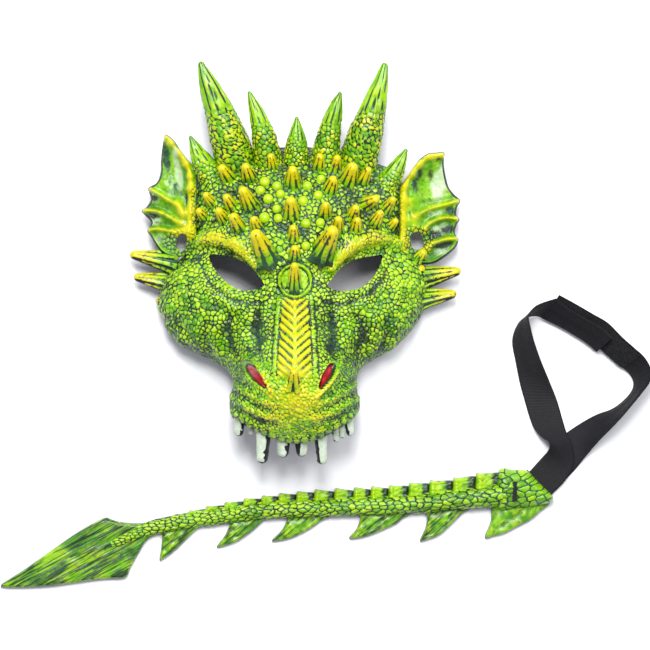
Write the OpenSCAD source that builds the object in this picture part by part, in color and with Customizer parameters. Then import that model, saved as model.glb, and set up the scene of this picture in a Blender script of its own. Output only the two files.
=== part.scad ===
// Dragon dress-up set: a moulded foam half mask lying face up on its rim,
// and a moulded foam tail with an elastic waist strap closed by hook and loop.
// +X to the wearer's left, +Y towards the horns, +Z out of the face.

/* [Mask] */
// Wall thickness of the foam face shell
shell_t = 4; // [3:0.5:5]
// Height of the eye area above the rim
face_h = 50; // [44:1:56]
// Extra height of the muzzle above the eye area
muzzle_h = 40; // [34:1:44]
// Thickness of the ear membrane
ear_t = 3; // [2.5:0.5:4]
// Width of each ear slot for the head elastic
slot_w = 7; // [6:0.5:8]
// Length of each ear slot for the head elastic
slot_l = 12; // [10:0.5:13]
/* [Tail] */
// Height of the tail's rounded core at its thick end
core_h = 15; // [12:0.5:17]
// Thickness of the hooked fins under the tail
fin_t = 5; // [4:0.5:6]
// Thickness of the arrow blade at the tip
blade_t = 5; // [4:0.5:6]
// Height of the back plates above the flat back
plate_h = 9; // [7:0.5:10]
/* [Strap] */
// Width of the elastic waist band
strap_w = 22.5; // [21:0.5:23]
// Thickness of the elastic waist band
strap_t = 1.2; // [1:0.1:1.4]
// Thickness of each hook or loop patch
patch_t = 0.9; // [0.7:0.1:1]

/* [Hidden] */

// shift that puts the middle of the whole set's box on the Z axis
ox = 0.15;
oy = 0.2;

lime = [0.52, 0.80, 0.05];
yellow = [0.80, 0.85, 0.08];
dark = [0.16, 0.30, 0.14];

// ---------- helpers ----------
function norm3(v) = v / norm(v);
// Catmull-Rom blend of four values
function cr(a, b, c, d, t) = 0.5 * (2 * b + (c - a) * t
  + (2 * a - 5 * b + 4 * c - d) * t * t
  + (3 * b - a - 3 * c + d) * t * t * t);
// closed smooth curve through points, k steps for each span
function loop_curve(p, k) = let (n = len(p)) [for (i = [0:n - 1], j = [0:k - 1])
  cr(p[(i + n - 1) % n], p[i], p[(i + 1) % n], p[(i + 2) % n], j / k)];
// open smooth curve through points, k steps for each span
function open_curve(p, k) = let (n = len(p)) concat([for (i = [0:n - 2], j = [0:k - 1])
  cr(p[max(i - 1, 0)], p[i], p[i + 1], p[min(i + 2, n - 1)], j / k)], [p[n - 1]]);
// booleans on freeform solids are done on their meshes
module meshed() { resize([0, 0, 0]) children(); }
// cone from a to b with radii ra and rb
module spine(a, b, ra, rb) {
  d = b - a;
  translate(a) rotate([0, acos(d[2] / norm(d)), atan2(d[1], d[0])])
    cylinder(h = norm(d), r1 = ra, r2 = rb, $fn = 14);
}

// ---------- face surface ----------
// middle of the face, from which the surface spreads to the rim
fc = [-21.5, 20];
// rim of the mask: x, y and height of the edge
rim_pts = [[54, 62, 0], [71, 36, 0], [70, 20, 0], [67, 7, 0], [58, -6, 0], [46, -17, 0],
  [33, -24.5, 0], [25, -30, 4], [21.5, -38, 12], [22, -48, 22], [23.5, -57, 30],
  [19.5, -65, 36], [11, -71, 40], [0.5, -77, 42], [-11, -81, 43], [-21.5, -82.5, 43],
  [-35, -79, 43], [-49, -73.5, 40], [-64, -65.5, 36], [-67, -57, 30], [-66, -48, 22],
  [-65, -39, 12], [-69, -32, 4], [-78, -26, 0], [-90, -20, 0], [-103, -13, 0], [-112, -1, 0],
  [-117, 18, 0], [-112, 35, 0], [-94, 56, 0], [-93, 75, 0], [-92, 95, 0], [-89, 110, 0],
  [-77, 117, 0], [-60, 121, 0], [-42, 123, 0], [-21.5, 125, 0], [0, 123, 0], [18, 120, 0],
  [36, 113, 0], [51, 105, 0], [54, 85, 0]];
rim = [for (p = loop_curve(rim_pts, 2)) [p[0], p[1], max(0, p[2])]];
NR = len(rim);
levels = [0.12, 0.25, 0.38, 0.5, 0.62, 0.73, 0.82, 0.89, 0.945, 0.98, 1];
NL = len(levels);
// height of the face without its falling edge
function muzzle_w(y) = lookup(y, [[-60, 43], [-40, 41], [-20, 34], [0, 27], [20, 24]]);
function field(x, y) = let (u = x + 21.5, au = abs(u)) face_h
  + 15 * exp(-(u * u) / 2600 - pow(y - 62, 2) / 1900)
  + muzzle_h * exp(-pow(au / muzzle_w(y), 3) - pow(min(0, y + 45) / 60, 2) - pow(max(0, y + 45) / 48, 2))
  + 6 * exp(-pow((au - 66) / 20, 2) - pow((y - 2) / 22, 2))
  - 7 * exp(-pow((au - 43) / 20, 2) - pow((y - 37) / 13, 2));
// falling edge: 1 in the middle, 0 at the rim
function fall(s) = pow(max(0, 1 - pow(s, 2.8)), 1 / 2.8);
// point of the face surface on ray i at level s, drawn in by t
function face_pt(i, s, t) = let (
  b = [rim[i][0], rim[i][1]] - fc,
  q = fc + b * (1 - t / norm(b)) * s,
  zr = rim[i][2])
  [q[0], q[1], zr + (field(q[0], q[1]) - t - zr) * fall(s)];
// closed dome: rings from the top to the rim, then a skirt of given drop
function dome_pts(t, drop) = concat([[fc[0], fc[1], field(fc[0], fc[1]) - t]],
  [for (s = levels, i = [0:NR - 1]) face_pt(i, s, t)],
  drop > 0 ? [for (i = [0:NR - 1]) let (p = face_pt(i, 1, t)) [p[0], p[1], -drop]] : [],
  [[fc[0], fc[1], -drop]]);
function dome_faces(rings) = let (last = 1 + rings * NR) concat(
  [for (i = [0:NR - 1]) [0, 1 + i, 1 + (i + 1) % NR]],
  [for (k = [0:rings - 2], i = [0:NR - 1]) let (a = 1 + k * NR + i,
    b = 1 + k * NR + (i + 1) % NR) [a, a + NR, b]],
  [for (k = [0:rings - 2], i = [0:NR - 1]) let (a = 1 + k * NR + i,
    b = 1 + k * NR + (i + 1) % NR) [b, a + NR, b + NR]],
  [for (i = [0:NR - 1]) [1 + (rings - 1) * NR + i, last, 1 + (rings - 1) * NR + (i + 1) % NR]]);
// the shell's own solid: outer dome, inner dome and the ring between their rims
function flip(f) = [f[0], f[2], f[1]];
module shell_body() {
  outer = dome_pts(0, 0);
  inner = dome_pts(shell_t, 0);
  no = 1 + NL * NR;
  polyhedron(concat([for (i = [0:no - 1]) outer[i]], [for (i = [0:no - 1]) inner[i]]), concat(
    [for (f = dome_faces(NL)) if (max(f) < no) f],
    [for (f = dome_faces(NL)) if (max(f) < no) flip(f + [no, no, no])],
    [for (i = [0:NR - 1]) let (a = no - NR + i, b = no - NR + (i + 1) % NR) [a, a + no, b]],
    [for (i = [0:NR - 1]) let (a = no - NR + i, b = no - NR + (i + 1) % NR) [b, a + no, b + no]]),
    convexity = 6);
}
module outer_dome() { polyhedron(dome_pts(0, 0), dome_faces(NL), convexity = 6); }
module cavity() { polyhedron(dome_pts(shell_t, 12), dome_faces(NL + 1), convexity = 6); }

// surface height at any x, y
function ray_r(a) = let (hits = [for (i = [0:NR - 1]) let (
    p = [rim[i][0], rim[i][1]] - fc, q = [rim[(i + 1) % NR][0], rim[(i + 1) % NR][1]] - fc,
    d = [cos(a), sin(a)], e = q - p,
    den = d[0] * e[1] - d[1] * e[0],
    r = (p[0] * e[1] - p[1] * e[0]) / den,
    w = (p[0] * d[1] - p[1] * d[0]) / den)
    if (abs(den) > 0.001 && w >= 0 && w <= 1 && r > 0) [r, rim[i][2] * (1 - w) + rim[(i + 1) % NR][2] * w]])
  hits[0];
function surf(x, y) = let (d = [x, y] - fc, h = ray_r(atan2(d[1], d[0])), s = min(1, norm(d) / h[0]))
  h[1] + (field(x, y) - h[1]) * fall(s);

// a patch that follows the face: stands up by `up`, sinks in by `down`
module patch(up, down) {
  meshed() difference() {
    intersection() {
      translate([0, 0, up]) outer_dome();
      translate([0, 0, 5]) linear_extrude(130) children();
    }
    translate([0, 0, -down]) outer_dome();
    cavity();
  }
}
// parts that grow out of the shell never reach its hollow side
module rooted() { meshed() difference() { union() children(); cavity(); } }

eye_left = [[-81, 48], [-72, 48.5], [-62, 46], [-52.5, 40.5], [-46, 33], [-43, 27], [-52, 24],
  [-60, 24.5], [-69, 29.5], [-76, 37]];
eye_right = [[39, 48], [31, 47.5], [21, 45.5], [11, 40], [5, 33], [1, 26.5], [10, 23.5],
  [20, 24.5], [28, 28.5], [35, 37]];
muzzle_line = [[-69.5, -110], [-69.5, -30.5], [-62, -20], [-45, -11.3], [2, -11.3], [18, -20],
  [27, -28.5], [27, -110]];

module shell() {
  difference() {
    shell_body();
    translate([0, 0, -20]) linear_extrude(160) polygon(eye_left);
    translate([0, 0, -20]) linear_extrude(160) polygon(eye_right);
  }
}
// the shell above the muzzle is named in three regions that meet edge to edge
module face_region() {
  color(lime) meshed() difference() {
    intersection() {
      shell();
      translate([0, 0, -20]) linear_extrude(160) children();
    }
    translate([0, 0, -20]) linear_extrude(160) polygon(muzzle_line);
  }
}
module forehead_shell() { face_region() polygon([[-140, 50.7], [90, 50.7], [90, 150], [-140, 150]]); }
module face_shell_left() { face_region() polygon([[-140, -110], [-20.3, -110], [-20.3, 50.7], [-140, 50.7]]); }
module face_shell_right() { face_region() polygon([[-20.3, -110], [90, -110], [90, 50.7], [-20.3, 50.7]]); }
module muzzle_shell() {
  color(lime) meshed() intersection() {
    shell();
    translate([0, 0, -20]) linear_extrude(160) polygon(muzzle_line);
  }
}

// ---------- horns ----------
// a horn through four centre points with four radii, ending in a round tip
module horn(p, r) {
  rooted() {
    for (i = [0:2]) hull() {
      translate(p[i]) sphere(r[i], $fn = 16);
      translate(p[i + 1]) sphere(r[i + 1], $fn = 16);
    }
  }
}
module horn_long_left() { color(lime) horn([[-63, 108, 24], [-71, 132, 32], [-79.5, 157, 38], [-86.5, 181, 42]], [14, 11.5, 7, 1.6]); }
module horn_long_right() { color(lime) horn([[21, 108, 24], [28, 132, 32], [35.5, 157, 38], [41, 181, 42]], [14, 11.5, 7, 1.6]); }
module horn_mid_left() { color(lime) horn([[-41, 113, 30], [-45.5, 130, 37], [-49.5, 145, 41], [-53, 159.5, 43]], [10, 8.5, 5.5, 1.5]); }
module horn_mid_right() { color(lime) horn([[-1, 113, 30], [3, 130, 37], [6, 145, 41], [8.5, 159.5, 43]], [10, 8.5, 5.5, 1.5]); }
module horn_centre() { color(lime) horn([[-21.5, 115, 32], [-21.5, 125, 36], [-21.5, 134, 39], [-21, 142, 41]], [8, 6.8, 4, 1.5]); }
module horn_side_left() { color(lime) horn([[-78, 100, 24], [-84, 111, 28], [-89.5, 121, 30], [-94, 129.5, 31]], [8.5, 7, 4.2, 1.4]); }
module horn_side_right() { color(lime) horn([[38, 95, 26], [45, 105, 29], [51, 113.5, 31], [55.5, 120.5, 32]], [8.5, 6.5, 4, 1.4]); }

// ---------- ears ----------
ear_left_pts = [[-91, 51], [-91, 112], [-94.5, 114], [-98, 119], [-101.5, 124.5], [-111.5, 132],
  [-113.5, 124.5], [-114.5, 114], [-116, 102.5], [-123, 95], [-121, 87.5], [-128, 79.5],
  [-122, 73], [-124, 65.5], [-121.5, 60], [-115, 51], [-106, 46], [-98, 46]];
ear_right_pts = [[51, 50], [51, 104], [55.5, 104], [59.5, 110], [69.5, 117.5], [81.5, 119.5],
  [82.5, 101.5], [85.5, 93.5], [93, 87], [87.5, 78.5], [92, 73.5], [88, 66], [91.5, 60],
  [88, 53], [82.5, 44], [72, 40], [60, 44]];
module ear(pts, hinge_x, lean, slot_at, slot_turn, ribs) {
  rooted() translate([hinge_x, 0, 24]) rotate([0, lean, 0]) translate([-hinge_x, 0, -ear_t / 2])
    difference() {
      union() {
        linear_extrude(ear_t) polygon(pts);
        for (r = ribs) translate([0, 0, ear_t - 0.5]) spine([r[0], r[1], 0], [r[2], r[3], -0.4], 2, 1);
      }
      translate([slot_at[0], slot_at[1], -30]) rotate(slot_turn) linear_extrude(60)
        hull() for (s = [-1, 1]) translate([0, s * (slot_l - slot_w) / 2]) circle(slot_w / 2, $fn = 24);
    }
}
module ear_left() {
  color(lime) ear(ear_left_pts, -93, -14, [-100.5, 57], -14,
    [[-96, 70, -122, 94], [-96, 68, -127, 79.5], [-97, 66, -123, 65.5], [-97, 72, -111, 130]]);
}
module ear_right() {
  color(lime) ear(ear_right_pts, 53, 14, [63, 59.5], 12,
    [[58, 74, 92, 87], [60, 70, 91, 73.5], [60, 68, 90.5, 60], [57, 76, 80.5, 118]]);
}

// ---------- spikes ----------
module cheek_spikes_left() {
  color(yellow) rooted() {
    spine([-106, 44, 14], [-136.5, 49, 15], 6, 0.8);
    spine([-107, 29, 13], [-134, 33.5, 13], 5.5, 0.8);
    spine([-110, 16, 11], [-123, 16, 11], 5, 0.8);
  }
}
module cheek_spikes_right() {
  color(yellow) rooted() {
    spine([64, 33, 14], [93, 39.5, 15], 6, 0.8);
    spine([65, 19, 13], [90.5, 23, 13], 5.5, 0.8);
    spine([62, 44, 18], [69, 50, 22], 4, 0.8);
  }
}
// tip x, tip y, lean x, lean y, root radius, height
spikes = [[-73, 110, 6, -9, 4.5, 10], [-56, 111, 3, -10, 4.5, 11], [-38.5, 118, 1, -9, 4, 9],
  [-4, 118, -1, -9, 4, 9], [8, 117, -2, -9, 4, 9], [19, 111, -4, -11, 5.5, 13],
  [29.5, 108.5, -5, -10, 4, 10], [-23, 108.5, 0, -11, 5, 13], [-58, 94, 6, -12, 5, 14],
  [-69.5, 89.5, 5, -8, 4, 9], [-84, 91, 6, -7, 3.5, 8], [5.5, 102, -3, -9, 4.5, 10],
  [35.5, 87.5, -9, -4, 4.5, 11], [47, 88, -6, -8, 3.5, 8], [21, 82, -3, -7, 4, 8],
  [0, 84, -1, -8, 4, 9], [-24.5, 87, 1, -11, 5, 13], [-75, 80, 5, -7, 4, 9],
  [-64.5, 76, 5, -9, 4.5, 11], [-89, 80, 5, -5, 3.5, 7], [-50.5, 74, 3, -7, 4, 8],
  [8.5, 74, -1, -9, 4, 11], [21.5, 73.5, -1, -8, 4, 9], [38, 78.5, -5, -9, 4, 9],
  [49, 73, -5, -5, 3, 6], [-22.5, 68, 0, -8, 4, 9], [-21.5, 54, 0, -6, 4, 7],
  [-49, 64, 8, -16, 6.5, 18], [5.5, 66.5, -8, -16, 6.5, 18], [-21.5, 41, 0, -11, 4.5, 14],
  [-22, -31, 0, -9, 5, 9]];
module forehead_spikes() {
  color(yellow) rooted()
    for (s = spikes) let (bx = s[0] + s[2], by = s[1] + s[3], bz = surf(bx, by) - 2.2)
      spine([bx, by, bz], [s[0], s[1], bz + s[5]], s[4], 0.7);
}
// x, y, radius
pearls = [[-42.5, 99, 3.5], [-34, 96, 3.2], [-45.5, 93, 3.2], [-31.5, 90.5, 3], [-40, 87, 3.4],
  [-34, 80, 3], [-42.5, 74, 3.6], [-33, 73.5, 3], [-13, 96, 3.2], [-3.5, 101, 3],
  [-5.5, 89.5, 3.2], [-16, 85.5, 3.4], [-14, 70, 3.2], [-4, 70.5, 3], [-14, 54.5, 3]];
module forehead_pearls() {
  color(yellow) rooted() for (p = pearls)
    translate([p[0], p[1], surf(p[0], p[1]) - 0.3]) sphere(p[2], $fn = 10);
}

// ---------- brows, nose, nostrils ----------
module brow_ridge_left() {
  color(yellow) patch(6, 1) polygon([[-90, 58], [-84, 62.5], [-72, 63.5], [-60, 59], [-50, 50], [-44, 40],
    [-47, 38.5], [-55, 46.5], [-63, 51.5], [-73, 53], [-83, 52.5]]);
}
module brow_ridge_right() {
  color(yellow) patch(6, 1) polygon([[48, 57], [42, 62.5], [30, 63.5], [18, 59.5], [7, 51], [0, 40],
    [4, 38.5], [12, 46.5], [21, 51.5], [31, 53], [41, 52.5]]);
}
module nose_ridge() {
  color(yellow) patch(2.4, 1) {
    for (i = [0:8]) translate([-21.5, 11 - i * 5.6])
      polygon([[-8 - i * 0.25, 5], [0, 0], [8 + i * 0.25, 5], [8 + i * 0.25, 1.2], [0, -3.8], [-8 - i * 0.25, 1.2]]);
    for (s = [-1, 1]) translate([-21.5, 0])
      polygon([[s * 9.5, 16], [s * 12, 16], [s * 14, -33], [s * 11.3, -33]]);
  }
}
module nose_medallion() {
  color(yellow) patch(1.6, 1) translate([-21.5, 30.5]) difference() {
    circle(11, $fn = 32);
    circle(9.3, $fn = 32);
  }
}
module nostril_left() { color([0.72, 0.03, 0.08]) patch(1, 1) polygon([[-55, -28], [-50, -29], [-43, -38], [-42.5, -43], [-47, -41.5], [-53, -34]]); }
module nostril_right() { color([0.72, 0.03, 0.08]) patch(1, 1) polygon([[5, -28], [1, -30], [-4, -38], [-4, -43], [0, -41.5], [5, -34]]); }

// ---------- teeth ----------
module fangs() {
  color([0.85, 0.9, 0.8]) rooted() {
    spine([-43.5, -70, 50], [-46, -96, 46], 4.6, 1);
    spine([-4.5, -71, 50], [-3, -96.5, 46], 4.4, 1);
    spine([-29.5, -76, 50], [-30, -91, 47], 4.4, 1.4);
    spine([-16.5, -77, 50], [-17, -90.5, 47], 4.4, 1.4);
  }
}
module small_teeth() {
  color([0.85, 0.9, 0.8]) rooted() {
    spine([-60, -62, 44], [-61.5, -76.5, 42], 3.2, 1);
    spine([-51, -68, 47], [-52, -76.5, 44], 2.6, 0.8);
    spine([5, -68, 47], [6, -80.5, 44], 2.8, 0.8);
    spine([10, -66, 46], [11, -77.5, 43], 2.4, 0.8);
    spine([16, -62, 44], [17, -76, 42], 3, 1);
  }
}

// ---------- tail ----------
// centre line of the core: x, y, half width, height
core_pts = [[-150, -153.5, 3, 5.5], [-138, -148.5, 4, 6.5], [-125, -143, 5, 8], [-110, -139.5, 5.6, 9],
  [-81, -134.5, 6, 9.6], [-51, -130.5, 6.3, 10.4], [-22, -128.5, 6.5, 11.2], [3, -127.5, 6.5, 11.8],
  [31, -126.5, 6.6, 12.4], [59, -125, 6.8, 13], [87, -122.5, 7.2, 13.8], [108, -120.5, 7.8, 14.4],
  [123, -118.5, 8.4, 15]];
core_line = open_curve(core_pts, 2);
NC = len(core_line);
function core_ring(i) = let (
  a = core_line[max(i - 1, 0)], b = core_line[min(i + 1, NC - 1)], c = core_line[i],
  d = [b[0] - a[0], b[1] - a[1]] / norm([b[0] - a[0], b[1] - a[1]]), n = [-d[1], d[0]])
  [for (k = [0:8]) let (w = k * 22.5) [c[0] + n[0] * c[2] * cos(w), c[1] + n[1] * c[2] * cos(w),
    (k == 0 || k == 8) ? 0 : c[3] * core_h / 15 * pow(sin(w), 0.7)]];
module tail_core() {
  color(lime) polyhedron([for (i = [0:NC - 1]) each core_ring(i)], concat(
    [[for (k = [0:8]) k]], [[for (k = [8:-1:0]) (NC - 1) * 9 + k]],
    [for (i = [0:NC - 2], k = [0:8]) let (a = i * 9 + k, b = i * 9 + (k + 1) % 9) [a, a + 9, b]],
    [for (i = [0:NC - 2], k = [0:8]) let (a = i * 9 + k, b = i * 9 + (k + 1) % 9) [b, a + 9, b + 9]]));
}
// starts of the back plates along X
plate_x = [-108, -96, -84, -71, -57.5, -45, -33, -20.5, -8, 6, 19.5, 31.5, 44, 58, 72.5, 89, 105];
// top edge of the row of back plates
function top_y(x) = lookup(x, [[-125, -138.5], [-107, -133.5], [-84, -127.5], [-57, -122], [-32, -118.5],
  [-8, -116], [20, -114.5], [44, -113], [73, -109.5], [90, -107.5], [105, -104.5], [123, -102]]);
function mid_y(x) = lookup(x, [for (c = core_pts) [c[0], c[1] + c[2] * 0.6]]);
module tail_plates() {
  color(lime) for (i = [0:16]) let (a = plate_x[i], b = i < 16 ? plate_x[i + 1] : 122.6)
    linear_extrude(plate_h * (0.7 + i * 0.019)) polygon([[a, mid_y(a)], [a + 0.4, top_y(a) + 0.6],
      [a + 2.4, top_y(a) + 0.8], [b - 0.2, top_y(b) - 1.2], [b - 0.2, mid_y(b)]]);
}
module tail_fins() {
  color(lime) linear_extrude(fin_t) {
    polygon([[-115, -140], [-115.5, -156], [-116, -164.5], [-108, -159.5], [-98.5, -150.5], [-88, -141.5], [-88, -136]]);
    polygon([[-66, -132], [-70.5, -145.5], [-76.5, -155], [-63.5, -152], [-51, -143.5], [-40.5, -134], [-40.5, -130]]);
    polygon([[-26.5, -129], [-30, -142], [-38, -150.5], [-24, -148.5], [-10, -142], [3.5, -134], [3.5, -128]]);
    polygon([[24, -127], [22.5, -141.5], [16.5, -149], [32, -146.5], [48.5, -139.5], [60, -131.5], [60, -126]]);
    polygon([[70, -125], [70, -140], [66, -151], [80, -146.5], [90.5, -136.5], [101, -128.5], [101, -122]]);
  }
}
module tail_blade() {
  color(dark) linear_extrude(blade_t) polygon([[-227.5, -183], [-193, -159.5], [-156, -135.5],
    [-145.5, -137], [-134, -138.5], [-123.5, -138], [-109, -136], [-109, -142], [-119, -146],
    [-125.5, -151], [-134, -164], [-140, -176.5], [-162, -179], [-184, -182.5]]);
}
// the strap leaves under the end edge: middle of the edge, its direction, the way out
edge_mid = [149.5, -108.5];
out_dir = [0.678, 0.735];
edge_dir = [0.735, -0.678];
// thick end of the tail with a shallow pocket underneath for the strap's end
module tail_base() {
  color(lime) difference() {
    union() {
      linear_extrude(core_h - 1) polygon([[123, -102], [140.5, -102], [151.5, -113], [158.5, -120.5],
        [155.5, -124.5], [123, -128]]);
      linear_extrude(fin_t) polygon([[116, -126.5], [116, -136.5], [111.5, -148.5], [125.5, -145.5],
        [143, -136.5], [155.5, -124.5], [140, -122], [123.5, -124]]);
    }
    translate([0, 0, -1]) linear_extrude(4.3) polygon([[127.4, -106.5], [136, -103.2], [140.6, -100.2],
      [150, -96], [166, -112], [158.6, -117.2], [141, -128], [127.4, -126]]);
  }
}

// ---------- waist strap ----------
// hinge line of the strap, 2 mm outside the tail's end
hinge_p = [edge_mid[0] + 2 * out_dir[0], edge_mid[1] + 2 * out_dir[1], 1.7];
module strap_root() {
  color([0.06, 0.06, 0.07]) translate([0, 0, 0.4]) linear_extrude(2.6) polygon([[128, -107.2],
    [136, -104], [141, -101.3], [157.5, -116.5], [141, -127.2], [128, -125.4]]);
}
module strap_bar_tack() {
  color([0.03, 0.03, 0.04]) {
    translate([131.5, -116, 0]) {
      translate([-1.75, -7, core_h - 1.6]) cube([3.5, 14, 1.6]);
      for (s = [-1, 1]) translate([0, s * 5.5, 0.9]) cylinder(h = core_h - 2, r = 0.8, $fn = 16);
    }
  }
}
module strap_seam() {
  color([0.05, 0.05, 0.06]) translate(hinge_p) rotate([0, 90, atan2(edge_dir[1], edge_dir[0])])
    cylinder(h = strap_w, r = 1.3, center = true, $fn = 24);
}
// a flat band through sections, each given by its two edge points
function band_n(s, i) = let (n = len(s), a = s[max(i - 1, 0)], b = s[min(i + 1, n - 1)],
  t = (b[0] + b[1] - a[0] - a[1]), w = s[i][0] - s[i][1]) norm3(cross(t, w));
function shift_band(s, off, slide) = [for (i = [0:len(s) - 1]) let (n = band_n(s, i),
  w = norm3(s[i][0] - s[i][1])) [s[i][0] + n * off + w * slide, s[i][1] + n * off + w * slide]];
module band(s, th) {
  n = len(s);
  polyhedron([for (i = [0:n - 1]) let (m = band_n(s, i) * th / 2)
      each [s[i][0] + m, s[i][1] + m, s[i][1] - m, s[i][0] - m]],
    concat([[0, 1, 2, 3]], [[for (k = [3:-1:0]) (n - 1) * 4 + k]],
      [for (i = [0:n - 2], k = [0:3]) let (a = i * 4 + k, b = i * 4 + (k + 1) % 4) [a, a + 4, b]],
      [for (i = [0:n - 2], k = [0:3]) let (a = i * 4 + k, b = i * 4 + (k + 1) % 4) [b, a + 4, b + 4]]));
}
// lower arm: outer edge x, y, z, then inner edge x, y, z
lower_pts = [[[159.6, -116.9, 1.1], [143.1, -101.7, 1.1]], [[166.5, -109.5, 1.1], [150, -94, 1.1]],
  [[174, -101.5, 1.1], [157.5, -86, 1.1]], [[182, -91.5, 4], [167, -76.5, 1.1]], [[190.5, -81, 12], [178.5, -68.5, 1.4]],
  [[199.5, -71.5, 18.5], [189.5, -62.5, 2]], [[207, -63, 21.8], [199.5, -59, 2]], [[214, -54.5, 22.5], [207, -54, 2]],
  [[220, -47, 22.5], [213, -47.5, 2]], [[225.5, -39.5, 21.5], [215, -41.5, 2]], [[226.5, -31, 19.3], [213, -35.5, 2.2]],
  [[222, -22.5, 18], [208.5, -31, 2.6]], [[215, -16, 18], [203, -27, 2.8]], [[206.5, -8.5, 18], [194.5, -19.5, 2.8]],
  [[196.5, 1.5, 17.6], [185, -11, 2.8]], [[185.5, 8, 18], [174.5, -4, 2.8]], [[173.5, 15, 18], [164, 2, 2.8]],
  [[162.5, 21, 18], [153.5, 7, 2.8]]];
lower_secs = open_curve(lower_pts, 3);
NB = len(lower_secs);
// the flap lies on the inner face of the lower arm's end
flap_off = strap_t + 2 * patch_t + 0.5;
flap_from = 51;
flap_to = 40;
flap_all = shift_band(lower_secs, -flap_off, -1.4);
flap_secs = [for (i = [flap_from:-1:flap_to]) flap_all[i]];
flap_way = norm3(flap_secs[1][0] + flap_secs[1][1] - flap_secs[0][0] - flap_secs[0][1]);
flap_hinge = flap_secs[0];
// upper arm: the edge that ends up on top, then the other edge
upper_pts = [[[159.6, -116.9, 2.5], [143.1, -101.7, 2.5]], [[166, -110.5, 2.7], [149, -95.5, 2.9]],
  [[171, -103, 3], [154, -89.5, 6]], [[173.5, -95, 3.4], [156, -85, 10]], [[173, -88, 3.4], [155, -81.5, 12]],
  [[171, -80.5, 3], [150, -78, 8]], [[168, -74.5, 2.8], [145.5, -72.5, 4]], [[165, -64.5, 2.8], [142, -63.5, 1.4]],
  [[161.5, -52.5, 2.6], [138.8, -52.5, 1]], [[156, -39, 7], [135.5, -40.5, 1]], [[150, -25, 14], [132.5, -25.5, 1]],
  [[145, -11, 17.5], [130.2, -12.5, 1.2]], [[142.5, -1.5, 20], [131.8, -4, 1.4]], [[141, 5.5, 22.5], [136, 2.5, 1.6]],
  [[143.5, 10.5, 23.5], [142.5, 6, 2]], [[148.5, 14.5, 22], [148, 6, 2]],
  [flap_hinge[0] - flap_way * 1, flap_hinge[1] - flap_way * 1]];
upper_secs = open_curve(upper_pts, 3);
module strap_arm_lower() { color([0.07, 0.07, 0.09]) band(lower_secs, strap_t); }
module strap_arm_upper() { color([0.08, 0.08, 0.10]) band(upper_secs, strap_t); }
module loop_patch() {
  color([0.03, 0.03, 0.03]) band([for (s = shift_band([for (i = [NB - 1:-1:34]) lower_secs[i]],
    (strap_t + patch_t) / 2 + 0.02, 0)) [s[0] * 0.96 + s[1] * 0.04, s[1] * 0.96 + s[0] * 0.04]], patch_t);
}
module strap_flap() {
  color([0.08, 0.08, 0.10]) band(concat([[flap_hinge[0] + flap_way * 0.1, flap_hinge[1] + flap_way * 0.1]],
    [for (i = [1:len(flap_secs) - 1]) flap_secs[i]]), strap_t);
}
module hook_patch() {
  color([0.02, 0.02, 0.02]) band([for (s = shift_band([for (i = [2:len(flap_secs) - 1]) flap_secs[i]],
    -(strap_t + patch_t) / 2 - 0.02, 0)) [s[0] * 0.95 + s[1] * 0.05, s[1] * 0.95 + s[0] * 0.05]], patch_t);
}

module place() { translate([ox, oy, 0]) children(); }
place() forehead_shell();
place() face_shell_left();
place() face_shell_right();
place() muzzle_shell();
place() horn_long_left();
place() horn_long_right();
place() horn_mid_left();
place() horn_mid_right();
place() horn_centre();
place() horn_side_left();
place() horn_side_right();
place() ear_left();
place() ear_right();
place() cheek_spikes_left();
place() cheek_spikes_right();
place() brow_ridge_left();
place() brow_ridge_right();
place() forehead_spikes();
place() forehead_pearls();
place() nose_ridge();
place() nose_medallion();
place() nostril_left();
place() nostril_right();
place() fangs();
place() small_teeth();
place() tail_core();
place() tail_plates();
place() tail_fins();
place() tail_blade();
place() tail_base();
place() strap_root();
place() strap_bar_tack();
place() strap_seam();
place() strap_arm_upper();
place() strap_arm_lower();
place() loop_patch();
place() strap_flap();
place() hook_patch();
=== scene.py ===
import bpy, math
import numpy as np
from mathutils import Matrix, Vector, kdtree


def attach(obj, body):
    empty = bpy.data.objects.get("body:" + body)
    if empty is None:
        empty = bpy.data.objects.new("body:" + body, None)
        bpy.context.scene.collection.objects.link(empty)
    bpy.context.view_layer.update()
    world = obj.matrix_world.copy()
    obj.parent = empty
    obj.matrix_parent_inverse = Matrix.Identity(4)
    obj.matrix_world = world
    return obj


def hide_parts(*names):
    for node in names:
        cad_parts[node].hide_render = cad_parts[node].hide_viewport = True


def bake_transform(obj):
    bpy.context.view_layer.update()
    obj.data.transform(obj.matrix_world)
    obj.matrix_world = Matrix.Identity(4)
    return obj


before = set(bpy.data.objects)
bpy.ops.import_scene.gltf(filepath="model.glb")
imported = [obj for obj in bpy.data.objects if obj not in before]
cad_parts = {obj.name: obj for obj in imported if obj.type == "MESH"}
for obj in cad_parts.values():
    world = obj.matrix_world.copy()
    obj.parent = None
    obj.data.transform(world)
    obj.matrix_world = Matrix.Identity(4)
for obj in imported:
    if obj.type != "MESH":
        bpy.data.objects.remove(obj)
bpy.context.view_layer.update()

# ------------------------------------------------------------------ stage
OX, OY = 0.15, 0.2            # the CAD model's own shift, mm
scene = bpy.context.scene
scene.view_settings.view_transform = "Standard"
scene.view_settings.look = "None"
CAM_H = 4.0
cam_data = bpy.data.cameras.new("camera")
cam = bpy.data.objects.new("camera", cam_data)
scene.collection.objects.link(cam)
cam.location = (-0.0006, 0.0002, CAM_H)
cam_data.sensor_width = 36
cam_data.lens = 36 * CAM_H / 0.455
cam_data.clip_end = 200
scene.camera = cam


def rng(seed):
    return np.random.RandomState(seed)


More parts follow.
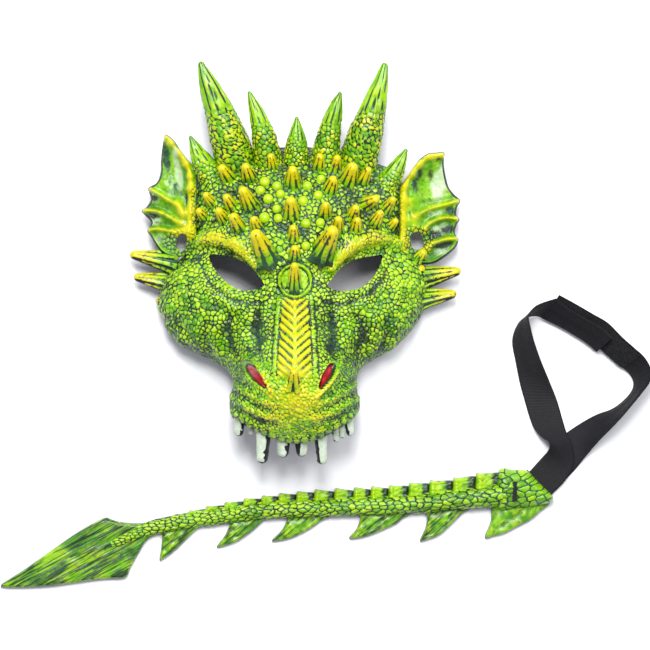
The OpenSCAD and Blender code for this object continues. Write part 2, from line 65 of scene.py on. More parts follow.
def area(name, loc, target, size, power, color=(1, 1, 1)):
    d = bpy.data.lights.new(name, "AREA")
    d.shape = "SQUARE"
    d.size = size
    d.energy = power
    d.color = color
    o = bpy.data.objects.new(name, d)
    scene.collection.objects.link(o)
    o.location = loc
    o.rotation_euler = (Vector(target) - Vector(loc)).to_track_quat("-Z", "Y").to_euler()
    return o


area("key", (-0.25, 1.2, 1.9), (0, 0, 0), 0.85, 37)
area("fill", (0.9, 0.6, 2.0), (0, 0, 0), 0.8, 16)
area("top", (0.0, 0.80, 2.4), (0, 0, 0), 0.5, 26)
world = bpy.data.worlds.new("world")
scene.world = world
world.use_nodes = True
world.node_tree.nodes["Background"].inputs[0].default_value = (0.90, 0.92, 1.0, 1)
world.node_tree.nodes["Background"].inputs[1].default_value = 0.45

fm = bpy.data.meshes.new("floor")
fm.from_pydata([(-14, -14, 0), (14, -14, 0), (14, 14, 0), (-14, 14, 0)], [], [(0, 1, 2, 3)])
floor = bpy.data.objects.new("floor", fm)
scene.collection.objects.link(floor)
mat = bpy.data.materials.new("floor_paper")
mat.use_nodes = True
mat.node_tree.nodes["Principled BSDF"].inputs["Base Color"].default_value = (0.97, 0.97, 0.985, 1)
mat.node_tree.nodes["Principled BSDF"].inputs["Roughness"].default_value = 0.85
mat.node_tree.nodes["Principled BSDF"].inputs["Specular IOR Level"].default_value = 0.1
fm.materials.append(mat)


# ------------------------------------------------------------------ small maths
def smooth(a, b, x):
    t = np.clip((x - a) / (b - a), 0, 1)
    return t * t * (3 - 2 * t)


def g(d, s):
    return np.exp(-(d / s) ** 2)


def unit(v):
    return v / np.maximum(np.linalg.norm(v, axis=-1, keepdims=True), 1e-12)


def hash3(ix, iy, iz, seed):
    n = (ix * 374761393 + iy * 668265263 + iz * 1274126177 + seed * 974711) & 0x7FFFFFFF
    n = ((n ^ (n >> 13)) * 1103515245 + 12345) & 0x7FFFFFFF
    n = ((n ^ (n >> 16)) * 2246822519) & 0x7FFFFFFF
    return (n & 0xFFFFF) / float(0xFFFFF)


def vnoise(p, scale, seed=0):
    """Smooth value noise, -1 to 1, at points p (n, 3) in mm, features of about `scale` mm."""
    q = p / scale + 1000.0
    i = np.floor(q).astype(np.int64)
    f = q - i
    f = f * f * (3 - 2 * f)
    out = 0
    for dx in (0, 1):
        for dy in (0, 1):
            for dz in (0, 1):
                w = (f[:, 0] if dx else 1 - f[:, 0]) * (f[:, 1] if dy else 1 - f[:, 1]) * (f[:, 2] if dz else 1 - f[:, 2])
                out = out + w * hash3(i[:, 0] + dx, i[:, 1] + dy, i[:, 2] + dz, seed)
    return out * 2 - 1


def seg_dist(x, y, a, b):
    """Distance from points to the segment a-b, and where along it the nearest point is."""
    d = np.array(b, float) - np.array(a, float)
    t = np.clip(((x - a[0]) * d[0] + (y - a[1]) * d[1]) / (d @ d), 0, 1)
    return np.hypot(x - a[0] - t * d[0], y - a[1] - t * d[1]), t


def path_dist(x, y, pts):
    best = np.full(np.shape(x), 1e9)
    at = np.zeros(np.shape(x))
    n = len(pts) - 1
    for k in range(n):
        d, t = seg_dist(x, y, pts[k], pts[k + 1])
        m = d < best
        best = np.where(m, d, best)
        at = np.where(m, (k + t) / n, at)
    return best, at


def in_poly(x, y, poly):
    inside = np.zeros(np.shape(x), bool)
    n = len(poly)
    for i in range(n):
        x0, y0 = poly[i]
        x1, y1 = poly[(i + 1) % n]
        c = ((y0 > y) != (y1 > y)) & (x < (x1 - x0) * (y - y0) / ((y1 - y0) or 1e-9) + x0)
        inside ^= c
    return inside


def cr(p, k, closed=False):
    """Catmull-Rom curve through points p (n, d), k steps for each span."""
    p = np.array(p, float)
    n = len(p)
    out = []
    for i in range(n if closed else n - 1):
        if closed:
            a, b, c, d = p[(i - 1) % n], p[i], p[(i + 1) % n], p[(i + 2) % n]
        else:
            a, b, c, d = p[max(i - 1, 0)], p[i], p[i + 1], p[min(i + 2, n - 1)]
        for j in range(k):
            t = j / k
            out.append(0.5 * (2 * b + (c - a) * t + (2 * a - 5 * b + 4 * c - d) * t * t + (3 * b - a - 3 * c + d) * t ** 3))
    if not closed:
        out.append(p[-1])
    return np.array(out)


def resample(p, n, closed=False):
    p = np.array(p, float)
    if closed:
        p = np.vstack([p, p[:1]])
    s = np.r_[0, np.cumsum(np.linalg.norm(np.diff(p, axis=0), axis=1))]
    t = np.linspace(0, s[-1], n + 1)[:n] if closed else np.linspace(0, s[-1], n)
    return np.stack([np.interp(t, s, p[:, k]) for k in range(p.shape[1])], 1)


# ------------------------------------------------------------------ mesh building
class Geo:
    """Vertices in mm, faces, and per-vertex paint values, a painted highlight among them."""

    def __init__(self):
        self.v, self.f, self.a = [], [], {k: [] for k in ("cav", "yel", "var", "bare", "painted_sheen")}
        self.n = 0

    def add(self, v, f, cav=0.0, yel=0.0, var=0.5, bare=0.0, painted_sheen=0.0):
        v = np.asarray(v, float)
        self.f += [tuple(int(i) + self.n for i in q) for q in f]
        self.v.append(v)
        for k, x in (("cav", cav), ("yel", yel), ("var", var), ("bare", bare), ("painted_sheen", painted_sheen)):
            self.a[k].append(np.broadcast_to(np.asarray(x, float), (len(v),)).copy())
        self.n += len(v)
        return self


def tris_of(faces):
    f3 = [q for q in faces if len(q) == 3]
    f4 = [q for q in faces if len(q) == 4]
    t = []
    if f3:
        t.append(np.array(f3, np.int64))
    if f4:
        q = np.array(f4, np.int64)
        t += [q[:, [0, 1, 2]], q[:, [0, 2, 3]]]
    return np.vstack(t)


def vert_normals(v, tris):
    fn = np.cross(v[tris[:, 1]] - v[tris[:, 0]], v[tris[:, 2]] - v[tris[:, 0]])
    n = np.zeros_like(v)
    for k in range(3):
        for c in range(3):
            n[:, c] += np.bincount(tris[:, k], fn[:, c], len(v))
    return unit(n)


def build(name, geo, material, body, nodes=(), shade=True):
    v = np.vstack(geo.v)
    me = bpy.data.meshes.new(name)
    me.from_pydata(((v + [OX, OY, 0]) * 0.001).tolist(), [], geo.f)
    me.polygons.foreach_set("use_smooth", [shade] * len(me.polygons))
    for k, x in geo.a.items():
        at = me.attributes.new(k, "FLOAT", "POINT")
        at.data.foreach_set("value", np.clip(np.concatenate(x), -1, 2).astype(np.float32))
    me.materials.append(material)
    me.update()
    o = bpy.data.objects.new(name, me)
    scene.collection.objects.link(o)
    if body:
        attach(o, body)
    if nodes:
        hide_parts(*nodes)
    return o


def grid_faces(n, m, close_u=False, close_v=False, base=0, flip=False):
    """Faces of an n x m grid stored row by row."""
    f = []
    for i in range(n if close_u else n - 1):
        a, b = i * m, ((i + 1) % n) * m
        for j in range(m if close_v else m - 1):
            k = (j + 1) % m
            q = (base + a + j, base + b + j, base + b + k, base + a + k)
            f.append(q[::-1] if flip else q)
    return f


def throw_seeds(v, radius, seed):
    """Points of v at least about `radius` apart."""
    kd = kdtree.KDTree(len(v))
    for i, p in enumerate(v):
        kd.insert(p, i)
    kd.balance()
    covered = np.zeros(len(v), bool)
    out = []
    order = rng(seed).permutation(len(v))
    rad = np.broadcast_to(radius, (len(v),))
    for i in order:
        if covered[i]:
            continue
        out.append(i)
        for _, j, _ in kd.find_range(v[i], rad[i]):
            covered[j] = True
    return np.array(out)


def cells(v, seeds_v, seeds_r):
    """For each vertex: edge (0 on a border between scales, 1 inside), offset from its seed, distance share, seed index."""
    kd = kdtree.KDTree(len(seeds_v))
    for i, p in enumerate(seeds_v):
        kd.insert(p, i)
    kd.balance()
    f1 = np.empty(len(v)); f2 = np.empty(len(v)); k1 = np.empty(len(v), int)
    for i, p in enumerate(v):
        r = kd.find_n(p, 2)
        f1[i], f2[i], k1[i] = r[0][2], r[1][2], r[0][1]
    r = seeds_r[k1]
    return np.clip((f2 - f1) / (0.55 * r), 0, 1), v - seeds_v[k1], f1 / r, k1


# ------------------------------------------------------------------ materials
def new_mat(name):
    m = bpy.data.materials.new(name)
    m.use_nodes = True
    nt = m.node_tree
    return m, nt, nt.nodes["Principled BSDF"]


def node(nt, kind, **inputs):
    n = nt.nodes.new(kind)
    for k, x in inputs.items():
        if k.startswith("p_"):
            setattr(n, k[2:], x)
    return n


def attr(nt, name):
    n = nt.nodes.new("ShaderNodeAttribute")
    n.attribute_name = name
    return n.outputs["Fac"]


def mathn(nt, op, a, b=None, c=None, clamp=False):
    n = nt.nodes.new("ShaderNodeMath")
    n.operation = op
    n.use_clamp = clamp
    for i, x in enumerate((a, b, c)):
        if x is None:
            continue
        if isinstance(x, (int, float)):
            n.inputs[i].default_value = x
        else:
            nt.links.new(x, n.inputs[i])
    return n.outputs[0]


def mixc(nt, fac, a, b):
    n = nt.nodes.new("ShaderNodeMix")
    n.data_type = "RGBA"
    n.clamp_factor = True
    for sock, x in ((n.inputs[0], fac), (n.inputs[6], a), (n.inputs[7], b)):
        if isinstance(x, (int, float)):
            sock.default_value = x
        elif isinstance(x, tuple):
            sock.default_value = (*x, 1)
        else:
            nt.links.new(x, sock)
    return n.outputs[2]


def noisen(nt, scale, detail=3.0, rough=0.55, stretch=None, seed=0.0, distort=0.0):
    tc = nt.nodes.new("ShaderNodeTexCoord")
    mp = nt.nodes.new("ShaderNodeMapping")
    nt.links.new(tc.outputs["Object"], mp.inputs["Vector"])
    mp.inputs["Location"].default_value = (seed, seed * 0.7, seed * 1.3)
    if stretch:
        mp.vector_type = "TEXTURE"
        mp.inputs["Scale"].default_value = stretch[:3]
        if len(stretch) > 3:
            mp.inputs["Rotation"].default_value = (0, 0, stretch[3])
    n = nt.nodes.new("ShaderNodeTexNoise")
    n.inputs["Scale"].default_value = scale
    n.inputs["Detail"].default_value = detail
    n.inputs["Roughness"].default_value = rough
    n.inputs["Distortion"].default_value = distort
    nt.links.new(mp.outputs[0], n.inputs["Vector"])
    return n.outputs["Fac"]


def ramp(nt, x, lo, hi):
    n = nt.nodes.new("ShaderNodeMapRange")
    n.interpolation_type = "SMOOTHSTEP"
    nt.links.new(x, n.inputs["Value"])
    n.inputs["From Min"].default_value = lo
    n.inputs["From Max"].default_value = hi
    return n.outputs[0]


def bump(nt, bsdf, height, strength, dist):
    b = nt.nodes.new("ShaderNodeBump")
    b.inputs["Strength"].default_value = strength
    b.inputs["Distance"].default_value = dist
    nt.links.new(height, b.inputs["Height"])
    nt.links.new(b.outputs[0], bsdf.inputs["Normal"])


LIME = (0.190, 0.475, 0.001)
LIME_LT = (0.40, 0.62, 0.002)
YELLOW = (0.66, 0.56, 0.001)
GOLD = (0.64, 0.545, 0.001)
GREEN_DK = (0.058, 0.225, 0.002)
CREVICE = (0.004, 0.018, 0.010)
BARE = (0.012, 0.013, 0.016)
# colour of the painted highlight, the glints on scale tops
PAINTED_GLINT = (0.62, 0.76, 0.30)


def foam(name, streak=None, yellow_gain=1.0, dark_gain=1.0, streak_dark=0.0, peak=YELLOW, sheen_gain=0.0):
    """Black skinned foam, sprayed lime from the front, then dry-brushed yellow and washed dark in the hollows."""
    m, nt, bs = new_mat(name)
    cav, yel, var, bare = (attr(nt, k) for k in ("cav", "yel", "var", "bare"))
    broad = noisen(nt, 38, 3.0)
    mid = noisen(nt, 230, 4.0, 0.6, seed=3.1)
    fine = noisen(nt, 900, 3.0, 0.6, seed=7.7)
    col = mixc(nt, ramp(nt, mathn(nt, "ADD", mathn(nt, "MULTIPLY", broad, 0.6), mathn(nt, "MULTIPLY", var, 0.4)), 0.32, 0.60), GREEN_DK, LIME)
    col = mixc(nt, ramp(nt, mathn(nt, "ADD", mathn(nt, "MULTIPLY", mid, 0.6), mathn(nt, "MULTIPLY", var, 0.4)), 0.42, 0.72), col, LIME_LT)
    y = mathn(nt, "MULTIPLY", mathn(nt, "ADD", yel, mathn(nt, "MULTIPLY", mathn(nt, "SUBTRACT", mid, 0.5), 0.7)), yellow_gain)
    col = mixc(nt, ramp(nt, y, 0.30, 1.0), col, peak)
    # painted highlight: small bright glints on the very tops of the scales
    col = mixc(nt, mathn(nt, "MULTIPLY", ramp(nt, mathn(nt, "ADD", mathn(nt, "MULTIPLY", fine, 0.6), mathn(nt, "MULTIPLY", var, 0.4)), 0.66, 0.84), 0.30), col, PAINTED_GLINT)
    # painted highlight: a light grey-green sheen over the ears' dish and webs
    if sheen_gain:
        col = mixc(nt, mathn(nt, "MULTIPLY", ramp(nt, attr(nt, "painted_sheen"), 0.15, 0.85), sheen_gain), col, (0.46, 0.60, 0.34))
    if streak:
        st = mathn(nt, "ADD", mathn(nt, "MULTIPLY", noisen(nt, streak[0], 4.0, 0.6, stretch=streak[1], seed=0.0), 0.72),
                   mathn(nt, "MULTIPLY", noisen(nt, streak[0] * 0.35, 3.0, 0.6, stretch=(streak[1][0] * 0.5, 1, 1, streak[1][3]), seed=0.0), 0.28))
        col = mixc(nt, mathn(nt, "MULTIPLY", ramp(nt, st, 0.46, 0.56), streak_dark), col, CREVICE)
    dk = mathn(nt, "MULTIPLY", mathn(nt, "ADD", cav, mathn(nt, "MULTIPLY", mathn(nt, "SUBTRACT", mid, 0.5), 0.75)), dark_gain)
    col = mixc(nt, mathn(nt, "MULTIPLY", ramp(nt, dk, 0.20, 0.58), 0.97), col, mixc(nt, ramp(nt, broad, 0.42, 0.62), CREVICE, (0.016, 0.066, 0.038)))
    b = mathn(nt, "ADD", bare, mathn(nt, "MULTIPLY", mathn(nt, "SUBTRACT", fine, 0.5), 0.8))
    col = mixc(nt, ramp(nt, b, 0.42, 0.58), col, BARE)
    nt.links.new(col, bs.inputs["Base Color"])
    rg = nt.nodes.new("ShaderNodeMapRange")
    nt.links.new(mid, rg.inputs["Value"])
    rg.inputs["To Min"].default_value = 0.22
    rg.inputs["To Max"].default_value = 0.42
    nt.links.new(rg.outputs[0], bs.inputs["Roughness"])
    bs.inputs["Specular IOR Level"].default_value = 0.42
    bs.inputs["Coat Weight"].default_value = 0.10
    bs.inputs["Coat Roughness"].default_value = 0.18
    h = mathn(nt, "ADD", mathn(nt, "MULTIPLY", fine, 0.5), mathn(nt, "MULTIPLY", mid, 0.8))
    bump(nt, bs, h, 0.35, 0.0006)
    return m


M_FOAM = foam("painted_foam")
M_SPIKE = foam("painted_foam_spikes", yellow_gain=1.1, peak=GOLD)
M_HORN = foam("painted_foam_horns")
# the ears' material carries a painted highlight sheen
M_EAR = foam("painted_foam_ears", dark_gain=0.9, sheen_gain=0.85, peak=(0.58, 0.55, 0.001))
M_TAIL = foam("painted_foam_tail", yellow_gain=0.8)
M_BLADE = foam("painted_foam_blade", yellow_gain=0.7, dark_gain=0.9, streak=(1000, (26, 1, 1, 0.50)), streak_dark=0.92)
M_FIN = foam("painted_foam_fins", yellow_gain=0.7, dark_gain=0.9, streak=(900, (16, 1, 1, 0.72)), streak_dark=0.85)


def m_tooth():
    m, nt, bs = new_mat("painted_tooth")
    bare, var = attr(nt, "bare"), attr(nt, "var")
    mid = noisen(nt, 260, 4.0, 0.6)
    fine = noisen(nt, 800, 3.0, 0.6, seed=2.0)
    col = mixc(nt, ramp(nt, mid, 0.35, 0.7), (0.46, 0.55, 0.42), (0.60, 0.66, 0.55))
    col = mixc(nt, mathn(nt, "MULTIPLY", ramp(nt, fine, 0.6, 0.75), 0.4), col, (0.45, 0.62, 0.30))
    b = mathn(nt, "ADD", bare, mathn(nt, "MULTIPLY", mathn(nt, "SUBTRACT", mid, 0.5), 1.2))
    col = mixc(nt, ramp(nt, b, 0.45, 0.58), col, BARE)
    nt.links.new(col, bs.inputs["Base Color"])
    bs.inputs["Roughness"].default_value = 0.42
    bs.inputs["Specular IOR Level"].default_value = 0.35
    bs.inputs["Subsurface Weight"].default_value = 0.08
    bs.inputs["Subsurface Radius"].default_value = (0.002, 0.002, 0.0015)
    bump(nt, bs, mid, 0.3, 0.0006)
    return m


def m_red():
    m, nt, bs = new_mat("gloss_red")
    mid = noisen(nt, 300, 4.0, 0.6)
    cav = attr(nt, "cav")
    col = mixc(nt, ramp(nt, mid, 0.3, 0.75), (0.26, 0.001, 0.006), (0.50, 0.003, 0.018))
    col = mixc(nt, ramp(nt, cav, 0.3, 0.8), col, (0.12, 0.0, 0.004))
    nt.links.new(col, bs.inputs["Base Color"])
    bs.inputs["Roughness"].default_value = 0.20
    bs.inputs["Specular IOR Level"].default_value = 0.35
    bs.inputs["Coat Weight"].default_value = 0.25
    bs.inputs["Coat Roughness"].default_value = 0.08
    bump(nt, bs, mid, 0.5, 0.0009)
    return m


M_TOOTH, M_RED = m_tooth(), m_red()

# ------------------------------------------------------------------ face surface
FC = np.array([-21.5, 20.0])
RIM_PTS = [[54, 62, 0], [71, 36, 0], [70, 20, 0], [67, 7, 0], [58, -6, 0], [46, -17, 0],
           [33, -24.5, 0], [25, -30, 4], [21.5, -38, 12], [22, -48, 22], [23.5, -57, 30],
           [19.5, -65, 36], [11, -71, 40], [0.5, -77, 42], [-11, -81, 43], [-21.5, -82.5, 43],
           [-35, -79, 43], [-49, -73.5, 40], [-64, -65.5, 36], [-67, -57, 30], [-66, -48, 22],
           [-65, -39, 12], [-69, -32, 4], [-78, -26, 0], [-90, -20, 0], [-103, -13, 0], [-112, -1, 0],
           [-117, 18, 0], [-112, 35, 0], [-94, 56, 0], [-93, 75, 0], [-92, 95, 0], [-89, 110, 0],
           [-77, 117, 0], [-60, 121, 0], [-42, 123, 0], [-21.5, 125, 0], [0, 123, 0], [18, 120, 0],
           [36, 113, 0], [51, 105, 0], [54, 85, 0]]
SHELL_T = 4.0
EYE_L = [[-81, 48], [-72, 48.5], [-62, 46], [-52.5, 40.5], [-46, 33], [-43, 27], [-52, 24], [-60, 24.5], [-69, 29.5], [-76, 37]]
EYE_R = [[39, 48], [31, 47.5], [21, 45.5], [11, 40], [5, 33], [1, 26.5], [10, 23.5], [20, 24.5], [28, 28.5], [35, 37]]
RIM = cr(RIM_PTS, 24, True)
RIM[:, 2] = np.maximum(RIM[:, 2], 0)


def field(x, y):
    u = x + 21.5
    au = np.abs(u)
    w = np.interp(y, [-60, -40, -20, 0, 20], [43, 41, 34, 27, 24])
    return (50 + 15 * np.exp(-u * u / 2600 - (y - 62) ** 2 / 1900)
            + 40 * np.exp(-(au / w) ** 3 - (np.minimum(0, y + 45) / 60) ** 2 - (np.maximum(0, y + 45) / 48) ** 2)
            + 6 * np.exp(-((au - 66) / 20) ** 2 - ((y - 2) / 22) ** 2)
            - 7 * np.exp(-((au - 43) / 20) ** 2 - ((y - 37) / 13) ** 2))


def fall(s):
    return np.maximum(0, 1 - s ** 2.8) ** (1 / 2.8)


def ray_hit(x, y):
    """Rim distance and rim height seen from the face's middle towards (x, y)."""
    a = np.arctan2(y - FC[1], x - FC[0])
    ra = np.unwrap(np.arctan2(RIM[:, 1] - FC[1], RIM[:, 0] - FC[0]))
    rr = np.hypot(RIM[:, 1] - FC[1], RIM[:, 0] - FC[0])
    order = np.argsort(ra)
    ra, rr, rz = ra[order], rr[order], RIM[order, 2]
    ra = np.r_[ra - 2 * np.pi, ra, ra + 2 * np.pi]
    return np.interp(a, ra, np.tile(rr, 3)), np.interp(a, ra, np.tile(rz, 3))


def surf(x, y, t=0.0):
    r, z = ray_hit(np.asarray(x, float), np.asarray(y, float))
    s = np.minimum(1, np.hypot(x - FC[0], y - FC[1]) / r)
    return z + (field(x, y) - t - z) * fall(s)


def dome_grid(t, n_ray, n_ring, double):
    """Rings of points from the middle to the rim, fewer rays near the middle."""
    rim = resample(RIM[::-1], n_ray, True)
    phi = np.linspace(0, 1, 400)
    s = phi
    r0, h0 = 100.0, 58.0
    ln = np.r_[0, np.cumsum(np.hypot(np.diff(s) * r0, np.diff(fall(s)) * h0))]
    lev = np.interp(np.linspace(0, ln[-1], n_ring + 1)[1:], ln, s)
    rows, v = [], [np.array([[FC[0], FC[1], field(FC[0], FC[1]) - t]])]
    n = 1
    for s in lev:
        step = 4 if (double and s < 0.27) else 2 if (double and s < 0.55) else 1
        rm = rim[::step]
        b = rm[:, :2] - FC
        q = FC + b * (1 - t / np.linalg.norm(b, axis=1, keepdims=True)) * s
        z = rm[:, 2] + (field(q[:, 0], q[:, 1]) - t - rm[:, 2]) * fall(np.full(len(rm), s))
        v.append(np.c_[q, z])
        rows.append((n, len(rm), s))
        n += len(rm)
    f = [(0, rows[0][0] + i, rows[0][0] + (i + 1) % rows[0][1]) for i in range(rows[0][1])]
    for (a, na, _), (b, nb, _) in zip(rows[:-1], rows[1:]):
        if na == nb:
            for i in range(na):
                k = (i + 1) % na
                f.append((a + i, b + i, b + k, a + k))
        else:
            for i in range(na):
                k = (i + 1) % na
                f += [(a + i, b + 2 * i, b + 2 * i + 1), (a + i, b + 2 * i + 1, a + k), (a + k, b + 2 * i + 1, b + (2 * i + 2) % nb)]
    lv = np.concatenate([[0.0]] + [np.full(c, s) for _, c, s in rows])
    return np.vstack(v), f, rows, lv


# spikes: tip x, tip y, lean x, lean y, root radius, height
SPIKES = [[-73, 110, 6, -9, 4.5, 10], [-56, 111, 3, -10, 4.5, 11], [-38.5, 118, 1, -9, 4, 9],
          [-4, 118, -1, -9, 4, 9], [8, 117, -2, -9, 4, 9], [19, 111, -4, -11, 5.5, 13],
          [29.5, 108.5, -5, -10, 4, 10], [-23, 108.5, 0, -11, 5, 13], [-58, 94, 6, -12, 5, 14],
          [-69.5, 89.5, 5, -8, 4, 9], [-84, 91, 6, -7, 3.5, 8], [5.5, 102, -3, -9, 4.5, 10],
          [35.5, 87.5, -9, -4, 4.5, 11], [47, 88, -6, -8, 3.5, 8], [21, 82, -3, -7, 4, 8],
          [0, 84, -1, -8, 4, 9], [-24.5, 87, 1, -11, 5, 13], [-75, 80, 5, -7, 4, 9],
          [-64.5, 76, 5, -9, 4.5, 11], [-89, 80, 5, -5, 3.5, 7], [-50.5, 74, 3, -7, 4, 8],
          [8.5, 74, -1, -9, 4, 11], [21.5, 73.5, -1, -8, 4, 9], [38, 78.5, -5, -9, 4, 9],
          [49, 73, -5, -5, 3, 6], [-22.5, 68, 0, -8, 4, 9], [-21.5, 54, 0, -6, 4, 7],
          [-49, 64, 8, -16, 6.5, 18], [5.5, 66.5, -8, -16, 6.5, 18], [-21.7, 42, 0, -14, 5.0, 14],
          [-22, -31, 0, -9, 5, 9]]
PEARLS = [[-42.5, 99, 3.5], [-34, 96, 3.2], [-45.5, 93, 3.2], [-31.5, 90.5, 3], [-40, 87, 3.4],
          [-34, 80, 3], [-42.5, 74, 3.6], [-33, 73.5, 3], [-13, 96, 3.2], [-3.5, 101, 3],
          [-5.5, 89.5, 3.2], [-16, 85.5, 3.4], [-14, 70, 3.2], [-4, 70.5, 3], [-14, 54.5, 3]]


def mirror(p):
    return [[-43 - x, y] for x, y in p]


BROW = [[-91, 55.5], [-84, 59.5], [-72.8, 61], [-61, 56.5], [-52.5, 49], [-45.5, 39.5]]
LID1 = [[-84, 46], [-77, 32], [-66, 22.5], [-54, 19], [-43, 20.5]]
LID2 = [[-91, 40], [-82, 25], [-68, 14], [-54, 9.5], [-42, 12]]
LIP = [[(a - 326) * 0.7, (325 - b) * 0.7, r] for a, b, r in ((238, 413, 1.7), (244, 419, 1.9), (251, 424, 2.0), (258, 428, 2.1), (265, 431, 2.3), (273, 434, 2.5),
       (282, 437, 2.2), (290, 439, 2.0), (297, 439, 2.0), (305, 438, 2.2), (313, 436, 2.2), (321, 433, 2.2), (328, 429, 2.1), (335, 424, 2.0), (342, 419, 1.9), (349, 413, 1.7))]
NOSTRILS = (((-47.8, -35.3), (0.644, -0.765), 9.2, 3.1, 1), ((0.4, -35.3), (-0.464, -0.886), 8.8, 2.75, -1))


def nostril_uv(x, y, c):
    """Position in a nostril's own frame: along it from top to foot, and across it towards +X."""
    (cx, cy), (dx, dy), _, _, _ = c
    nx, ny = (-dy, dx) if -dy > 0 else (dy, -dx)
    return (x - cx) * dx + (y - cy) * dy, (x - cx) * nx + (y - cy) * ny


def macro(x, y):
    """Sculpted forms that stand on the face, in mm along its normal, and how yellow or dark each is."""
    h = np.zeros_like(x); yel = np.zeros_like(x); cav = np.zeros_like(x); flat = np.zeros_like(x)
    u = x + 21.5
    for side, br, l1, l2 in ((0, BROW, LID1, LID2), (1, mirror(BROW), mirror(LID1), mirror(LID2))):
        d, t = path_dist(x, y, br)
        w = 4.6 * (0.55 + 0.6 * np.sin(np.pi * np.clip(t * 0.9 + 0.08, 0, 1)))
        b = np.exp(-(d / (w * 1.12)) ** 2.6) * (0.5 + 0.5 * np.sin(np.pi * np.clip(0.1 + t * 0.8, 0, 1)))
        h += 6.6 * b
        yel += 0.92 * b
        flat = np.maximum(flat, 0.5 * b)
        d, t = path_dist(x, y, l1)
        b = g(d, 3.0) * np.sin(np.pi * np.clip(0.12 + t * 0.8, 0, 1))
        h += 2.4 * b
        yel += 0.25 * b
        d2, t = path_dist(x, y, l2)
        b = g(d2, 3.0) * np.sin(np.pi * np.clip(0.1 + t * 0.8, 0, 1))
        h += 1.5 * b
        dm = np.abs(d - 4.4) * (d2 < 9)
        cav += 0.35 * g(dm + 9 * (d2 >= 9), 1.6)
    # nose bridge with chevrons
    au = np.abs(u)
    top, bot = 19.0, -35.0
    along = smooth(top + 2, top - 3, y) * smooth(bot - 3, bot + 3, y)
    half = np.interp(y, [-34, 17], [11.6, 8.6])
    band = smooth(half + 0.9, half - 0.6, au) * along
    ph = ((y - 0.92 * au) / 5.7) % 1.0
    ridge = np.where(ph < 0.62, np.sin(np.pi * ph / 0.62) ** 0.6, 0)
    mid_gap = smooth(0.0, 1.3, au) * 0.6 + 0.4
    h += band * (1.0 + 1.3 * ridge * mid_gap)
    yel += band * (0.75 + 0.35 * ridge)
    cav += band * 0.75 * (ph >= 0.66) * smooth(0.2, 1.8, au)
    flat = np.maximum(flat, band)
    strip = g(au - half - 2.6, 1.9) * along
    ph2 = (y / 3.3) % 1.0
    h += strip * (0.5 + 0.7 * np.abs(np.sin(np.pi * ph2)))
    yel += strip * 0.25
    cav += strip * 0.5 * (np.abs(ph2 - 0.0) < 0.12)
    flat = np.maximum(flat, strip * 0.8)
    cav += 0.45 * g(au - half - 0.9, 0.7) * along + 0.4 * g(au - half - 4.6, 0.9) * along
    # medallion ring
    d = np.hypot(u, y - 30.5)
    h += 1.3 * g(d - 11.0, 0.75) - 0.5 * g(d - 9.2, 0.8) - 0.4 * g(d - 12.8, 0.8)
    yel += 0.35 * g(d - 11.0, 0.9)
    cav += 0.6 * g(d - 9.5, 0.55) + 0.7 * g(d - 12.7, 0.7)
    flat = np.maximum(flat, (d < 12.5) * 0.8)
    # nostrils with raised rims
    for c in NOSTRILS:
        p, q = nostril_uv(x, y, c)
        wid = c[3] * (1 - 0.25 * np.clip(p / c[2], -1, 1))
        e = np.sqrt((p / c[2]) ** 2 + (q / wid) ** 2)
        h += -3.2 * smooth(1.2, 0.75, e)
        rimv = np.exp(-((e - 1.55) / 0.42) ** 2)
        up = smooth(-1.5, 2.0, q)
        h += 2.8 * rimv * (0.3 + 0.7 * up)
        yel += 1.0 * rimv * (0.35 + 0.65 * up)
        cav += 0.9 * (e < 1.14)
        flat = np.maximum(flat, (e < 1.3) * 1.0)
    # ridges that sweep from the nostrils to the sides of the muzzle, and the lip's ledge
    for pts, amp, wd in (([[-64, -41], [-56, -45], [-46, -52], [-36, -55]], 1.6, 2.2),
                         ([[-66, -50], [-56, -55], [-46, -61], [-34, -64]], 2.0, 2.2),
                         ([[-66, -60], [-56, -65], [-46, -70], [-34, -74]], 1.6, 2.0)):
        for pp in (pts, mirror(pts)):
            d, t = path_dist(x, y, pp)
            b = g(d, wd) * (0.4 + 0.6 * np.sin(np.pi * t))
            h += amp * b
            yel += 0.7 * b
            cav += 0.22 * g(d - 3.6, 1.3)
    for px_, py_, rr in LIP:
        d = np.hypot(x - px_, y - py_)
        b = np.exp(-(d / rr) ** 3)
        h += 1.3 * b
        yel += 0.35 * b
        cav += 0.55 * g(d - rr * 1.25, 0.5) * (y < py_ + rr * 1.1)
        flat = np.maximum(flat, 0.8 * b)
    mz = g(np.hypot(u / 1.35, y + 52), 19) * smooth(-30, -36, y)
    yel += 0.72 * mz
    cav -= 0.12 * mz
    # folds that run from the eyes down to the snout, and lumps on the cheeks' edge
    for pts, amp, wd, dk in (([[-56.7, 18.6], [-58.6, -3.5], [-54, -22]], 2.4, 3.4, 0.0), ([[-73.5, 13], [-78.2, -7], [-70, -25.9]], 2.2, 4.2, 0.0),
                             ([[-90, 6], [-92, -8], [-84, -20]], 1.8, 4.5, 0.0), ([[-65.1, 15.5], [-68.2, -7], [-62, -24]], -1.3, 2.4, 0.34),
                             ([[-47.6, 16.5], [-48.6, -8], [-45.5, -22]], -1.4, 2.4, 0.36), ([[-82, 10], [-85, -8], [-77.5, -22]], -1.2, 2.4, 0.28)):
        for pp in (pts, mirror(pts)):
            d, t = path_dist(x, y, pp)
            b = g(d, wd) * smooth(0.0, 0.2, t) * smooth(1.0, 0.8, t)
            h += amp * b
            cav += dk * b
            yel += 0.10 * b * (amp > 0)
    for cx, cy, r_, amp in ((-111, 11, 4.5, 2.6), (-108, -1, 4.2, 2.2), (-100, -9, 4, 2.0), (-99, 22, 3.6, 2.0), (-102, 34, 3.6, 2.2), (62, 26, 3.6, 2.2), (60, 12, 3.4, 2.0), (56, 0, 3.4, 1.8)):
        b = np.exp(-(np.hypot(x - cx, y - cy) / r_) ** 3)
        h += amp * b
        yel += 0.35 * b
